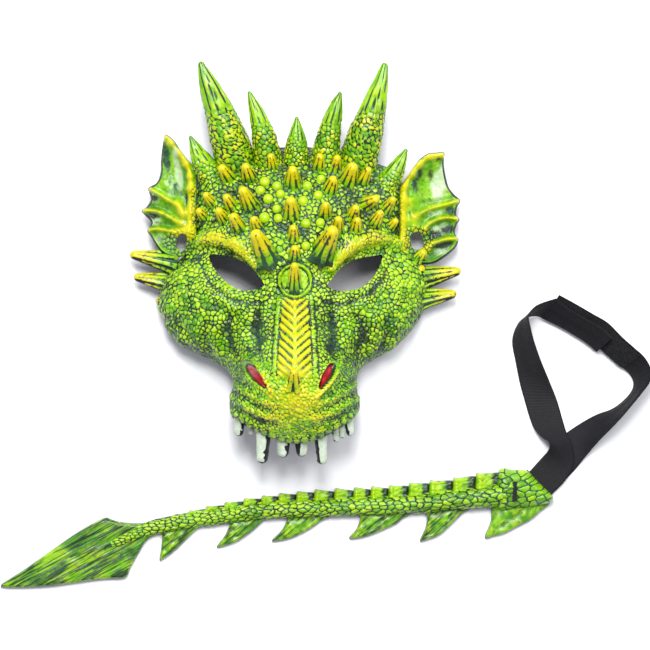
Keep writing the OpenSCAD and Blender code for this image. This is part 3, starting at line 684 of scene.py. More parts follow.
    # dark valleys: beside the nose, under the eyes and along the forehead's edge
    cav += 0.20 * g(np.hypot((au - 22) / 1.0, (y - 6) / 1.9), 8)
    cav += 0.14 * g(np.hypot((au - 40) / 1.4, (y + 14) / 1.2), 12)
    cav += 0.16 * smooth(52, 70, y) * smooth(78, 30, au)
    return h, np.clip(yel, 0, 1.2), cav, np.clip(flat, 0, 1)


# ------------------------------------------------------------------ pieces' common steps
def punch(v, faces, outline):
    """Removes the faces inside an outline in x and y. Returns the faces left and the hole's edge, in order."""
    first = np.array([[q[0], q[1], q[2], q[-1]] for q in faces])
    c = v[first].mean(1)
    lo, hi = outline.min(0), outline.max(0)
    idx = np.where((c[:, 0] > lo[0]) & (c[:, 0] < hi[0]) & (c[:, 1] > lo[1]) & (c[:, 1] < hi[1]))[0]
    inside = np.zeros(len(faces), bool)
    inside[idx] = in_poly(c[idx, 0], c[idx, 1], outline)
    edges = set()
    for i in np.where(inside)[0]:
        q = faces[i]
        for k in range(len(q)):
            edges.add((q[k], q[(k + 1) % len(q)]))
    nxt = {a: b for a, b in edges if (b, a) not in edges}
    start = next(iter(sorted(nxt)))
    loop, p = [start], nxt[start]
    while p != start and len(loop) < 20000:
        loop.append(p)
        p = nxt[p]
    return [q for q, gone in zip(faces, inside) if not gone], np.array(loop)


def onto(v, loop, outline, height=None):
    """Moves the points of a hole's edge onto the outline, keeping them on the surface."""
    dense = resample(outline, 1200, True)
    kd = kdtree.KDTree(len(dense))
    for i, p in enumerate(dense):
        kd.insert((p[0], p[1], 0), i)
    kd.balance()
    for i in loop:
        co = kd.find((v[i, 0], v[i, 1], 0))[0]
        if height is not None:
            v[i, 2] += float(height(np.array([co[0]]), np.array([co[1]]))[0] - height(v[i:i + 1, 0], v[i:i + 1, 1])[0])
        v[i, 0], v[i, 1] = co[0], co[1]


def bare_of(n, lo=0.08, hi=-0.2):
    return smooth(lo, hi, n[:, 2])


def scale_relief(v, radius, seed, amp, tilt=(0, -1, 0), stretch=None, uneven=0.30):
    """Height, groove and brush values of a skin of scales over points v. `stretch` = (direction, factor) lengthens them."""
    rad = np.broadcast_to(radius, (len(v),)).astype(float)
    p = v + np.stack([vnoise(v, 3.6, seed + 31 + k) for k in range(3)], 1) * (0.55 * rad)[:, None]
    if stretch is not None:
        d = np.array(stretch[0], float)
        p = p + np.outer(p @ d, d) * (1 / stretch[1] - 1)
    si = throw_seeds(p, rad * 1.62 * (1 + uneven * vnoise(v, 3.1, seed + 40)), seed)
    edge, off, share, k = cells(p, p[si], rad[si])
    rnd = rng(seed + 9).rand(len(si))[k]
    pil = np.clip(edge / 1.15, 0, 1)
    pil = np.sqrt(np.clip(1 - (1 - pil) ** 2, 0, 1))
    lean = (off @ np.array(tilt, float)) / rad[si][k]
    h = amp * (pil * (1.15 - 0.42 * np.clip(share, 0, 1.4) ** 2) + 0.30 * lean * pil - 0.85 + 0.7 * (rnd - 0.5) * pil)
    cav = smooth(0.88, 0.15, edge)
    return h, cav, pil, rnd


# ------------------------------------------------------------------ mask shell
def in_parts(whole, cuts, parts):
    """Builds one skin as meshes that meet at the cuts in y and share their normals there."""
    v = np.vstack(whole.v)
    n = vert_normals(v, tris_of(whole.f))
    att = {k: np.concatenate(x) for k, x in whole.a.items()}
    y0 = np.array([v[q[0], 1] for q in whole.f])
    for top_, low_, (name, nodes) in zip([1e9] + cuts, cuts + [-1e9], parts):
        fs = [q for q, k in zip(whole.f, (y0 <= top_) & (y0 > low_)) if k]
        used = np.zeros(len(v), bool)
        for q in fs:
            for i in q:
                used[i] = True
        new = np.cumsum(used) - 1
        part = Geo()
        part.add(v[used], [tuple(int(new[i]) for i in q) for q in fs], **{k: x[used] for k, x in att.items()})
        o = build(name, part, M_FOAM, "mask", nodes)
        o.data.normals_split_custom_set_from_vertices(n[used].tolist())


def make_shell():
    v, f, rows, lv = dome_grid(0.0, 900, 226, True)
    n0 = vert_normals(v, tris_of(f))
    x, y = v[:, 0].copy(), v[:, 1].copy()
    mh, my, mc, mf = macro(x, y)
    taper = smooth(1.0, 0.985, lv)
    u = np.abs(x + 21.5)
    eye = np.minimum(np.hypot(x + 62, y - 37), np.hypot(x - 19, y - 37))
    muz = smooth(-14, -30, y) * smooth(58, 46, u)
    R = 1.75 * np.ones(len(v))
    R = R + (1.62 - R) * smooth(46, 34, y)
    R = R + (1.35 - R) * smooth(30, 22, eye) * smooth(66, 50, y)
    R = R + (1.30 - R) * muz
    R = R + (1.45 - R) * smooth(14, 9, u) * smooth(60, 40, y) * (1 - muz)
    R = R * (1 + 0.20 * vnoise(v, 13, 2))
    v = v + n0 * (mh * taper)[:, None]
    n1 = vert_normals(v, tris_of(f))
    amp = 0.66 * R * (1 + 0.15 * smooth(40, 55, y))
    sh, sc, pil, rnd = scale_relief(v, R, 4, 1.0)
    keep = (1 - mf)
    d = sh * amp * keep * taper
    d += 0.24 * vnoise(v, 1.3, 3) * taper + 0.75 * vnoise(v, 6.0, 5) * taper
    v = v + n1 * d[:, None]
    n2 = vert_normals(v, tris_of(f))
    v[:, 2] = np.maximum(v[:, 2], 0.02)
    big = vnoise(v, 16, 11)
    patch = vnoise(v, 5.5, 12)
    side = smooth(30, 74, u)
    steep = smooth(0.75, 0.3, n0[:, 2])
    low = smooth(30, 10, y) * smooth(16, 24, u)          # cheeks and nose sides carry less paint
    yel = my * 0.78 + keep * pil * (0.10 + 0.30 * rnd) * (1 - 0.6 * side) * (0.5 + 0.5 * smooth(-0.3, 0.6, big)) - 0.25 * steep - 0.30 * low * (1 - mf)
    cav = (0.03 + mc + keep * sc * (0.70 + 0.30 * smooth(-0.5, 0.6, patch)) + 0.22 * steep + 0.30 * np.clip(big, 0, 1) + 0.34 * np.clip(patch, 0, 1) * (1 - 0.6 * muz)
           + 0.12 * smooth(40, 60, y) + 0.02 * low - 0.24 * my - 0.10 * muz * smooth(24, 10, u) - 0.14 * pil * rnd)
    var = np.clip(0.56 + 0.60 * (rnd - 0.5) * keep + 0.45 * (pil - 0.6) + 0.2 * big - 0.12 * low - 0.12 * steep, 0, 1)
    bare = bare_of(n0, 0.16, -0.02)
    nv = len(v)
    g_ = Geo()
    walls = []
    for o in (EYE_L, EYE_R):
        line = cr(o, 12, True)
        f, loop = punch(v, f, line)
        onto(v, loop, line, surf)
        walls.append(loop)
    g_.add(v, f, cav, yel, var, bare)
    for loop in walls:
        p = v[loop]
        m = len(loop)
        c = p.mean(0)
        rings, k = [], 5
        for j in range(k):
            q = p.copy()
            q[:, 2] -= 4.4 * j / (k - 1)
            q[:, :2] += unit(p[:, :2] - c[:2]) * (0.5 * np.sin(np.pi * j / (k - 1)))
            rings.append(q)
        w = np.vstack(rings)
        fb = [0.15 if j == 0 else 1.0 for j in range(k) for _ in range(m)]
        g_.add(w, grid_faces(k, m, close_v=True, flip=True), cav=0.6, bare=np.array(fb))
    # hollow side
    vi, fi, _, li = dome_grid(SHELL_T, 180, 46, True)
    for o in (EYE_L, EYE_R):
        line = cr(o, 12, True)
        fi, loop = punch(vi, fi, line)
        onto(vi, loop, line)
    vi = vi + vert_normals(vi, tris_of(fi)) * (0.18 * vnoise(vi, 5.0, 21) * smooth(1.0, 0.97, li))[:, None]
    vi[:, 2] = np.maximum(vi[:, 2], 0.0)
    g_.add(vi, [q[::-1] for q in fi], cav=0.7, bare=1.0)
    # edge the mask stands on
    n = 700
    rim = resample(RIM[::-1], n, True)
    b = rim[:, :2] - FC
    inner = FC + b * (1 - SHELL_T / np.linalg.norm(b, axis=1, keepdims=True))
    ring = np.vstack([np.c_[rim[:, :2], rim[:, 2]], np.c_[(rim[:, :2] + inner) / 2, rim[:, 2] - 0.0], np.c_[inner, rim[:, 2]]])
    g_.add(ring, grid_faces(3, n, close_v=True), cav=0.7, bare=1.0)
    in_parts(g_, [50.7, -22.0], [("mask_forehead_skin", ("forehead_shell",)),
                                 ("mask_face_skin", ("face_shell_left", "face_shell_right", "brow_ridge_left", "brow_ridge_right", "nose_ridge", "nose_medallion")),
                                 ("mask_muzzle_skin", ("muzzle_shell",))])


def on_face(x, y):
    a = np.array([float(x)]); b = np.array([float(y)])
    return float(surf(a, b)[0] + macro(a, b)[0][0])


# ------------------------------------------------------------------ spikes, pearls
def frame_of(d):
    d = unit(np.array(d, float))
    e1 = np.cross([0, 0, 1.0], d) if abs(d[2]) < 0.95 else np.cross([0, 1.0, 0], d)
    e1 = unit(e1)
    return d, e1, np.cross(d, e1)


def cone(geo, a, b, r, n=32, m=20, tip=0.55, flare=0.5, flutes=7, depth=0.09, seed=0, yel=(0.15, 1.0), squash_at=1.0,
         cav_foot=0.6, side_black=0.0, power=1.12):
    a, b = np.array(a, float), np.array(b, float)
    d, e1, e2 = frame_of(b - a)
    r_ = rng(seed)
    ph, tw = r_.rand() * 6.28, (r_.rand() - 0.5) * 1.2
    t = np.linspace(0, 1, m)
    rad = tip + (r - tip) * (1 - t) ** power + r * flare * np.exp(-t * 9)
    c0 = 1 - min(0.4, 0.9 * tip / np.linalg.norm(b - a) * 1.3)
    cap = np.clip((t - c0) / (1 - c0), 0, 1)
    rad = rad * np.sqrt(np.clip(1 - cap ** 2, 0.0009, 1))
    th = np.linspace(0, 2 * np.pi, n, endpoint=False)
    T, H = np.meshgrid(t, th, indexing="ij")
    rid = np.cos(flutes * H + ph + tw * T * 3)
    rid2 = np.cos((flutes * 2 + 1) * H + ph * 2)
    RR = rad[:, None] * (1 + depth * rid * (1.05 - T) + 0.4 * depth * rid2 * (1 - T))
    P = a + (b - a) * T[..., None] + RR[..., None] * (np.cos(H)[..., None] * e1 + np.sin(H)[..., None] * e2)
    P = P.reshape(-1, 3)
    P = P + 0.14 * vnoise(P, 1.7, seed)[:, None] * (P - (a + (b - a) * T.reshape(-1, 1))) / max(r, 1)
    v = np.vstack([P, [b + d * 0.02]])
    f = grid_faces(m, n, close_v=True, flip=True)
    k = (m - 1) * n
    f += [(k + (j + 1) % n, k + j, m * n) if False else (k + j, k + (j + 1) % n, m * n) for j in range(n)]
    nn = vert_normals(v, tris_of(f))
    c = np.append((a + (b - a) * T.reshape(-1, 1))[:, 0] * 0, 0)
    out = (v[:-1] - (a + (b - a) * T.reshape(-1, 1)))
    if (nn[:-1] * out).sum() < 0:
        f = [q[::-1] for q in f]
        nn = -nn
    tt = np.append(T.ravel(), 1)
    rr = np.append(rid.ravel(), 0)
    cav = cav_foot * np.exp(-tt * 6) + 0.8 * smooth(-0.35, -0.9, rr) * (1 - tt) ** 0.6
    ye = yel[0] + (yel[1] - yel[0]) * smooth(0.05, 0.75, tt) + 0.22 * rr * (1 - tt)
    sp = vnoise(v, 1.5, seed + 5)
    cav = cav + 0.45 * np.clip(sp, 0, 1) + 0.25 * np.clip(vnoise(v, 3.0, seed + 6), 0, 1)
    ye = ye - 0.35 * np.clip(-sp, 0, 1)
    bare = bare_of(nn, 0.02, -0.3)
    if side_black:
        bare = np.maximum(bare, side_black * smooth(-0.30, -0.62, nn[:, 1] + 0.25 * sp) * smooth(0.0, 0.12, tt))
    geo.add(v, f, cav, ye, 0.5 + 0.3 * r_.rand() - 0.15 * rr, bare)


def make_spikes():
    geo = Geo()
    for i, (tx, ty, lx, ly, r, hgt) in enumerate(SPIKES):
        bx, by = tx + lx, ty + ly
        bz = float(surf(np.array([bx]), np.array([by]))[0]) - 2.2
        sink = 1.4 if i != 30 else 1.8
        w = 1.26 if i < 29 else 1.05
        cone(geo, (bx + 0.16 * lx, by + 0.16 * ly, bz - sink), (tx - 0.04 * lx, ty - 0.04 * ly, bz + hgt * 1.05), r * w, n=52, m=36, tip=max(1.8, 0.40 * r * w), power=0.72,
             flutes=[6, 7, 8][i % 3], seed=100 + i, flare=0.30, depth=0.15, yel=(0.0, 1.0) if i < 30 else (0.45, 0.9), cav_foot=0.75 if i < 30 else 0.1)
    build("forehead_spikes_skin", geo, M_SPIKE, "mask", ("forehead_spikes",))
    geo = Geo()
    for i, (x, y, r) in enumerate(PEARLS):
        r *= 1.16
        z = float(surf(np.array([x]), np.array([y]))[0]) - 0.5
        n, m = 28, 14
        th = np.linspace(0, 2 * np.pi, n, endpoint=False)
        ph = np.linspace(0.02, 1.75, m)
        P = np.array([[x + r * math.sin(p) * math.cos(t), y + r * math.sin(p) * math.sin(t), z + r * 0.92 * math.cos(p)] for p in ph for t in th])
        P[:, :2] += 0.12 * vnoise(P, 1.5, i)[:, None]
        tt = np.repeat(ph / 1.75, n)
        geo.add(P, grid_faces(m, n, close_v=True), cav=smooth(0.5, 0.85, tt), yel=0.55 - 0.6 * tt, var=0.9)
        geo.add(np.vstack([P[:n], [[x, y, z + r * 0.92]]]), [(j, (j + 1) % n, n) for j in range(n)], yel=0.62, var=0.8)
    build("forehead_pearls_skin", geo, M_SPIKE, "mask", ("forehead_pearls",))
    for side, data in (("left", [((-104, 43.5, 14), (-137, 49.3, 15.5), 7.2, 0), ((-104, 28.5, 12), (-134.3, 33.8, 13), 6.6, 1), ((-108, 16.5, 9), (-118.8, 16.6, 9.5), 5.5, 2)]),
                       ("right", [((64, 32, 14), (94.2, 38, 15.5), 7.2, 3), ((64.5, 18, 12), (91.3, 22, 13), 6.6, 4), ((63, 44, 18), (69, 52.5, 23), 5, 5),
                                  ((61, 36, 18), (68.5, 40.3, 22), 5, 6)])):
        geo = Geo()
        for a, b, r, k in data:
            cone(geo, a, b, r * (1.12 if k not in (5, 6) else 1.0), n=56, m=60, flutes=8, depth=0.16, seed=300 + k, flare=0.25, tip=2.3, yel=(0.10, 0.80), cav_foot=0.3, power=0.8, side_black=0.95)
        build("cheek_spikes_%s_skin" % side, geo, M_SPIKE, "mask", ("cheek_spikes_" + side,))


# ------------------------------------------------------------------ horns
HORNS = {
    "horn_long_left": ([(-60, 106, 22, 14.5), (-68.3, 131.6, 32, 12.9), (-73.5, 146.3, 35.5, 10.5), (-80.3, 163.8, 39.5, 7.3), (-83.6, 171.8, 41, 5.2), (-86.2, 179.5, 42, 2.6)], 146),
    "horn_long_right": ([(20, 106, 22, 14.5), (26.3, 129, 32, 12.4), (30.3, 142, 35, 10.5), (34.9, 158, 38.5, 7.5), (37.9, 168, 40.5, 5.3), (40.2, 178.5, 42, 2.7)], 146),
    "horn_mid_left": ([(-40, 112, 29, 10.5), (-43, 130.5, 37, 8.2), (-47.8, 146, 41, 5.4), (-50.9, 154.7, 42.3, 3.3), (-52.9, 160.2, 43, 1.5)], 137),
    "horn_mid_right": ([(-1, 112, 29, 10.5), (1.4, 129.5, 36.6, 8.5), (4.9, 144.2, 40.6, 6.3), (7.6, 154, 42.2, 3.9), (9.4, 159.5, 43, 1.6)], 137),
    "horn_centre": ([(-20.8, 114, 31, 9), (-20.4, 127, 36.5, 7.1), (-20.3, 136.5, 39.5, 3.9), (-20.3, 142.5, 41, 1.5)], 128),
    "horn_side_left": ([(-77, 99, 23, 9.5), (-85, 112, 28, 7.6), (-90.3, 121.7, 30, 4.6), (-93.8, 129.6, 31, 1.5)], 112),
    "horn_side_right": ([(38, 93, 25, 9.5), (46.3, 104, 29, 7), (51.6, 113.5, 31, 4.4), (55.2, 120.7, 32, 1.5)], 104),
}


def make_horn(name, pts, split, seed):
    line = resample(cr(pts, 20), 100)
    cen, rad = line[:, :3], line[:, 3]
    ext = []
    d_end = unit(cen[-1] - cen[-2])
    for a in np.linspace(0.15, 1.45, 9):
        ext.append(np.r_[cen[-1] + d_end * rad[-1] * math.sin(a) * 1.25, rad[-1] * math.cos(a)])
    line = np.vstack([line, ext])
    cen, rad = line[:, :3], line[:, 3]
    n, m = 88, len(line)
    tan = unit(np.gradient(cen, axis=0))
    e1 = unit(np.cross(tan, [0, 0, 1.0]))
    e2 = np.cross(e1, tan)
    th = np.linspace(0, 2 * np.pi, n, endpoint=False)
    H = np.broadcast_to(th, (m, n))
    dirv = np.cos(H)[..., None] * e1[:, None] + np.sin(H)[..., None] * e2[:, None]
    P = (cen[:, None] + rad[:, None, None] * dirv).reshape(-1, 3)
    dirs = dirv.reshape(-1, 3)
    f = grid_faces(m, n, close_v=True)
    nn = vert_normals(P, tris_of(f))
    if (nn * dirs).sum() < 0:
        f = [q[::-1] for q in f]
    k = (m - 1) * n
    tipv = cen[-1] + d_end * 0.15
    L = np.repeat(np.linspace(0, 1, m), n)
    R = np.repeat(rad, n)
    yy = P[:, 1]
    low = smooth(split + 9, split - 7, yy + 3.5 * vnoise(P, 7, seed))
    sh, sc, pil, rnd = scale_relief(P, 1.65 if "side" not in name and name != "horn_centre" else 1.4, seed, 1.0)
    Hf = H.ravel()
    wob = 0.5 * vnoise(P * [1, 0.25, 1], 4, seed + 1)
    gr = np.cos(8 * Hf + wob * 4 + 5 * L) * 0.65 + np.cos(15 * Hf - wob * 5 - 4 * L) * 0.35
    h = low * sh * 0.85 + (1 - low) * (gr * 0.075 * R) + 0.15 * vnoise(P, 1.8, seed + 2) + 0.25 * vnoise(P, 6, seed + 3)
    P = P + dirs * (h * np.clip(R / 4, 0.25, 1))[:, None]
    nn = vert_normals(np.vstack([P, [tipv]]), tris_of(f))[:-1]
    big = vnoise(P, 10, seed + 5)
    tipd = smooth(0.74, 0.97, L)
    cav = low * sc * 0.95 + (1 - low) * smooth(-0.15, -0.75, gr) * 0.75 + 0.22 * np.clip(big, 0, 1) + 0.22 * tipd + 0.18 * smooth(0.6, 0.15, nn[:, 2])
    yel = low * pil * (0.22 + 0.5 * rnd) + (1 - low) * (0.15 + 0.42 * smooth(0.1, 0.9, gr)) * (1 - 0.6 * tipd)
    v = np.vstack([P, [tipv]])
    last = len(P)
    cap = [(k + j, k + (j + 1) % n, last) for j in range(n)]
    a, b, c = v[cap[0][0]], v[cap[0][1]], v[last]
    if np.dot(np.cross(b - a, c - a), d_end + 0.01 * dirs[k]) < 0:
        cap = [q[::-1] for q in cap]
    geo = Geo()
    geo.add(v, f + cap, np.append(cav, 0.3), np.append(yel, 0.3), np.append(0.5 + 0.4 * (rnd - 0.5) * low + 0.2 * big, 0.5),
            np.append(bare_of(nn, 0.0, -0.28), 0))
    build(name + "_skin", geo, M_HORN, "mask", (name,))


# ------------------------------------------------------------------ ears
EAR_L = [(-90.5, 54), (-90.2, 70), (-90.2, 82), (-90.2, 97), (-91.6, 109), (-97.5, 116.5), (-101.2, 121.6), (-106.5, 128.5), (-111.8, 132.2),
         (-113.2, 128), (-114.2, 121.5), (-114.9, 113), (-114.9, 106.3), (-117.5, 98.8), (-123.4, 95.2), (-122.6, 91.5), (-121.6, 87.0),
         (-124.4, 82.6), (-128.2, 79.8), (-125.6, 76.5), (-121.8, 72.2), (-122.8, 68.6), (-124.2, 65.8), (-121.8, 62), (-119.6, 58.2),
         (-116.5, 53.5), (-112, 49.6), (-105, 47.5), (-98, 48.5)]
EAR_R = [(51.0, 52), (51.2, 66), (51.2, 80), (51.6, 95), (56.3, 103), (62.8, 112.5), (70.5, 118.7), (76.5, 119.6), (82.3, 119.6), (82, 114),
         (82.2, 108.5), (83.6, 101), (85.1, 95.6), (88.8, 90.8), (93.2, 86.6), (90.8, 82), (90.2, 77), (91.6, 75.2), (92.6, 73.6),
         (90.4, 69.5), (89.4, 65), (90.6, 62.4), (91.9, 60.2), (91.2, 56.8), (88.8, 53.2), (82, 47.5), (73, 43), (62, 44)]
# painted highlight: each ear lists blobs of light sheen on its dish and webs
EARS = {
    "ear_left": dict(pts=EAR_L, c=(-107, 84), hx=-93, k=0.2493, slot=((-100.8, 57.2), (3.6, 6.4), -14),
                     ribs=[[(-123.2, 94.8), (-117, 91.6), (-111.4, 87.9), (-103.5, 83.2), (-100.0, 77.5)],
                           [(-128, 79.8), (-122, 79.6), (-116.1, 78.5), (-108.2, 74.6), (-102.0, 70.5)],
                           [(-124, 65.8), (-120, 66.8), (-116, 66.9), (-107.4, 65.2), (-101, 65.0)]],
                     stem=[(-102.5, 84), (-100, 76), (-98.0, 66)],
                     rim=[(-94.6, 62), (-94.3, 74), (-94.5, 90), (-94.3, 99), (-95.2, 107), (-98.8, 114.5), (-104, 121.5), (-108.5, 127.5), (-111.8, 131.4)],
                     painted_sheen=[(-103.2, 106.5, 2.6, 14, 0.14, 1.0), (-119, 88.5, 4, 3.5, 0, 0.75), (-119, 73.5, 4.5, 4, 0, 0.75), (-116, 60, 4.5, 4, 0, 0.8), (-108, 92, 4, 4, 0, 0.5)],
                     dark=[(-111.3, 116, 2.4, 9, 0, 0.9), (-121.5, 88.5, 3, 2.0, 0, 0.8), (-121.5, 76.0, 4, 1.6, 0, 0.8), (-104, 95.5, 4.5, 3.5, 0, 0.55), (-96.8, 86, 1.2, 14, 0, 0.6), (-108.5, 101, 3, 4, 0, 0.4)],
                     dish=(-105, 106), dish_r=(7.5, 13), s=-1),
    "ear_right": dict(pts=EAR_R, c=(72, 80), hx=53, k=-0.2493, slot=((63.2, 58.6), (4.6, 6.2), 12),
                      ribs=[[(93.0, 86.6), (85, 84.4), (77.3, 82.4), (70, 80), (62.5, 75.0)],
                            [(92.4, 73.8), (84, 74.8), (77.3, 73.4), (72.5, 70.8), (68.5, 66.8)],
                            [(91.7, 60.2), (84, 59.8), (77.3, 57.9), (73.5, 56.0), (70.5, 53.2)]],
                      stem=[(59.5, 86), (60, 76), (61.5, 69)],
                      rim=[(53.6, 54), (53.9, 70), (53.8, 84), (54.6, 96), (59.0, 104.6), (65, 112.0), (71.2, 117.0), (81.8, 118.9)],
                      painted_sheen=[(79.0, 97.0, 6.0, 12.5, -0.16, 1.1), (78.5, 78.2, 7, 2.0, 0.25, 0.9), (78.5, 66.0, 7, 4.2, 0.2, 0.85), (80.5, 53, 5.5, 4.2, 0.2, 0.7)],
                      dark=[(64.3, 106, 2.6, 6, -0.3, 0.75), (61.5, 96, 2.2, 6, 0, 0.6), (79.5, 117, 4.5, 2.4, 0, 0.7), (74, 104, 2.2, 5, 0.3, 0.4), (87.5, 79.5, 3, 2.0, 0, 0.9),
                            (86.5, 66.5, 4, 2.4, 0, 0.8), (80.5, 56, 6, 2.2, 0.2, 0.85), (76, 63, 5, 2.5, 0, 0.5)],
                      dish=(71.5, 100), dish_r=(9.5, 12), s=1),
}


def blobs(x, y, items, nz):
    out = np.zeros(len(x))
    for cx, cy, rx, ry, turn, amt in items:
        c, s_ = math.cos(turn), math.sin(turn)
        dx, dy = (x - cx) * c + (y - cy) * s_, -(x - cx) * s_ + (y - cy) * c
        out = np.maximum(out, amt * smooth(1.75, 0.15, np.hypot(dx / rx, dy / ry) + 0.35 * nz))
    return out


def make_ear(name, e, seed):
    n, m = ((420, 84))
    out = resample(cr(e["pts"], 8, True), n, True)
    if ((out[:, 0] - e["c"][0]) * np.roll(out[:, 1] - e["c"][1], -1) - np.roll(out[:, 0] - e["c"][0], -1) * (out[:, 1] - e["c"][1])).sum() < 0:
        out = out[::-1]
    c = np.array(e["c"], float)
    k = np.sqrt(np.linspace(0, 1, m + 1)[1:]) ** 1.25
    P = np.vstack([[c]] + [c + (out - c) * q for q in k])
    f = [(0, 1 + i, 1 + (i + 1) % n) for i in range(n)]
    f += grid_faces(m, n, close_v=True, base=1)
    x, y = P[:, 0], P[:, 1]
    base = 24 + e["k"] * (x - e["hx"])
    edge, _ = path_dist(x, y, np.vstack([out, out[:1]])[::3].tolist() + [out[0].tolist()])
    h = np.zeros(len(x)); yel = np.zeros(len(x)) + 0.1; cav = np.zeros(len(x)) + 0.28
    d, t = path_dist(x, y, e["rim"])
    wob = 1 + 0.25 * np.sin(t * 46) + 0.15 * np.sin(t * 21 + 1)
    b = np.exp(-(d / (2.6 * wob)) ** 2)
    h += 3.0 * b * wob; yel += 0.95 * b; cav -= 0.5 * b
    rib_all = np.zeros(len(x))
    for i, line in enumerate(e["ribs"]):
        line = cr(line, 8)
        d, t = path_dist(x, y, line.tolist())
        b_ = np.exp(-(d / (1.7 + 0.9 * t)) ** 2) * (1 - 0.35 * t)
        rib_all = np.maximum(rib_all, b_)
    h += 2.7 * rib_all; yel += 0.78 * rib_all; cav -= 0.35 * rib_all
    ds, _ = path_dist(x, y, e["stem"])
    hb = g(ds, 4.2)
    h += 1.6 * hb; yel += 0.40 * hb; cav -= 0.12 * hb
    dd = np.sqrt(((x - e["dish"][0]) / e["dish_r"][0]) ** 2 + ((y - e["dish"][1]) / e["dish_r"][1]) ** 2)
    dish = smooth(1.25, 0.2, dd)
    h -= 3.0 * dish
    web = (1 - rib_all) * (1 - hb) * smooth(1.0, 3.2, edge) * smooth(e["dish"][1] - 10, e["dish"][1] - 16, y)
    h -= 1.5 * web
    P3 = np.c_[x, y, base]
    nz = vnoise(P3, 5.5, seed)
    n2_ = vnoise(P3, 1.6, seed + 12)
    # painted highlight: sheen over the dish and webs, none on the scaly parts
    painted_sheen = np.clip(blobs(x, y, e["painted_sheen"], nz) + 0.25 * n2_ * web, 0, 1)
    dark = blobs(x, y, e["dark"], vnoise(P3, 3.5, seed + 2))
    cav += 0.22 * np.clip(nz, 0, 1) + 0.58 * dark + 0.22 * np.clip(n2_, 0, 1) + 0.16 * web - 0.12
    s_ = e["s"]
    outer = smooth(8, 13, (x - e["hx"]) * s_)
    rnd_edge = np.sqrt(np.clip(1 - (1 - np.clip(edge / 1.6, 0, 1)) ** 2, 0, 1))
    sh, sc, pil, rnd = scale_relief(P3, 1.45, seed + 3, 1.0)
    slot_d = np.hypot(x - e["slot"][0][0], y - e["slot"][0][1])
    scaly = np.maximum(smooth(15, 9, slot_d) * smooth(e["slot"][0][1] + 13, e["slot"][0][1] + 7, y), smooth(0.5, -1.0, (x - e["rim"][1][0]) * s_) * smooth(101, 96, y))
    h += 0.9 * sh * scaly; cav += 0.55 * sc * scaly; yel += 0.35 * scaly * pil
    painted_sheen = painted_sheen * (1 - scaly)
    top = base + 0.6 + (h + 1.2) * rnd_edge + 0.2 * vnoise(P3, 1.8, seed + 7)
    V = np.c_[x, y, top]
    (sx, sy), (sw, sl), turn = e["slot"]
    th = np.linspace(0, 2 * np.pi, 60, endpoint=False)
    ca, sa = math.cos(math.radians(turn)), math.sin(math.radians(turn))
    sp = 2 / 2.6
    qx, qy = sw * np.sign(np.cos(th)) * np.abs(np.cos(th)) ** sp, sl * np.sign(np.sin(th)) * np.abs(np.sin(th)) ** sp
    hole = np.c_[sx + qx * ca - qy * sa, sy + qx * sa + qy * ca]
    f2, loop = punch(V, f, hole)
    onto(V, loop, hole)
    bare = smooth(1.15, 0.5, edge + 0.35 * nz) * outer * (1 - np.exp(-(path_dist(x, y, e["rim"])[0] / 3.5) ** 2)) * (1 - smooth(0.25, 0.6, rib_all))
    geo = Geo()
    geo.add(V, f2, cav, yel, np.clip(0.34 + 0.3 * nz + 0.2 * n2_ + 0.2 * painted_sheen, 0, 1), bare, painted_sheen)
    # slot wall
    p = V[loop]
    ml = len(loop)
    w = np.vstack([p, np.c_[p[:, :2], p[:, 2] * 0 + (24 + e["k"] * (p[:, 0] - e["hx"])) - 1.5]])
    geo.add(w, grid_faces(2, ml, close_v=True, flip=True), cav=0.6, bare=1.0)
    # back
    B = np.c_[x, y, base - 1.5 + 1.2 * (1 - rnd_edge)]
    fb, lb = punch(B, f, hole)
    onto(B, lb, hole)
    geo.add(B, [q[::-1] for q in fb], cav=0.6, bare=1.0)
    r0 = np.arange(1 + (m - 1) * n, 1 + m * n)
    mid = (V[r0] + B[r0]) / 2
    mid[:, :2] += unit(V[r0][:, :2] - c) * (0.1 + 0.5 * smooth(8, 13, (V[r0][:, 0] - e["hx"]) * e["s"]))[:, None]
    geo.add(np.vstack([V[r0], mid, B[r0]]), grid_faces(3, n, close_v=True), cav=0.6, bare=1.0)
    build(name + "_skin", geo, M_EAR, "mask", (name,))


# ------------------------------------------------------------------ nostrils and teeth
def make_nostrils():
    for c, name in zip(NOSTRILS, ("nostril_left", "nostril_right")):
        (cx, cy), (dx, dy), hl, hw, _ = c
        nx, ny = (-dy, dx) if -dy > 0 else (dy, -dx)
        n, m = 56, 14
        th = np.linspace(0, 2 * np.pi, n, endpoint=False)
        pts, cav = [], []
        for k in np.linspace(0, 1, m):
            for t in th:
                p = hl * 1.02 * k * math.cos(t)
                w = hw * (1 - 0.25 * max(-1, min(1, p / hl))) * 1.04
                q = w * k * math.sin(t)
                pts.append((cx + p * dx + q * nx, cy + p * dy + q * ny))
                cav.append(0.0 + 0.9 * max(0, -math.sin(t)) * k ** 3 + 0.5 * max(0, k - 0.8) / 0.2)
        pts = np.array(pts)
        z = surf(pts[:, 0], pts[:, 1]) + macro(pts[:, 0], pts[:, 1])[0]
        kk = np.repeat(np.linspace(0, 1, m), n)
        P = np.c_[pts, z + 0.45 + 0.9 * (1 - kk ** 2)]
        P[:, 2] += 0.16 * vnoise(P, 2.4, 31)
        geo = Geo()
        geo.add(P, grid_faces(m, n, close_v=True), cav=np.array(cav))
        build(name + "_skin", geo, M_RED, "mask", (name,))


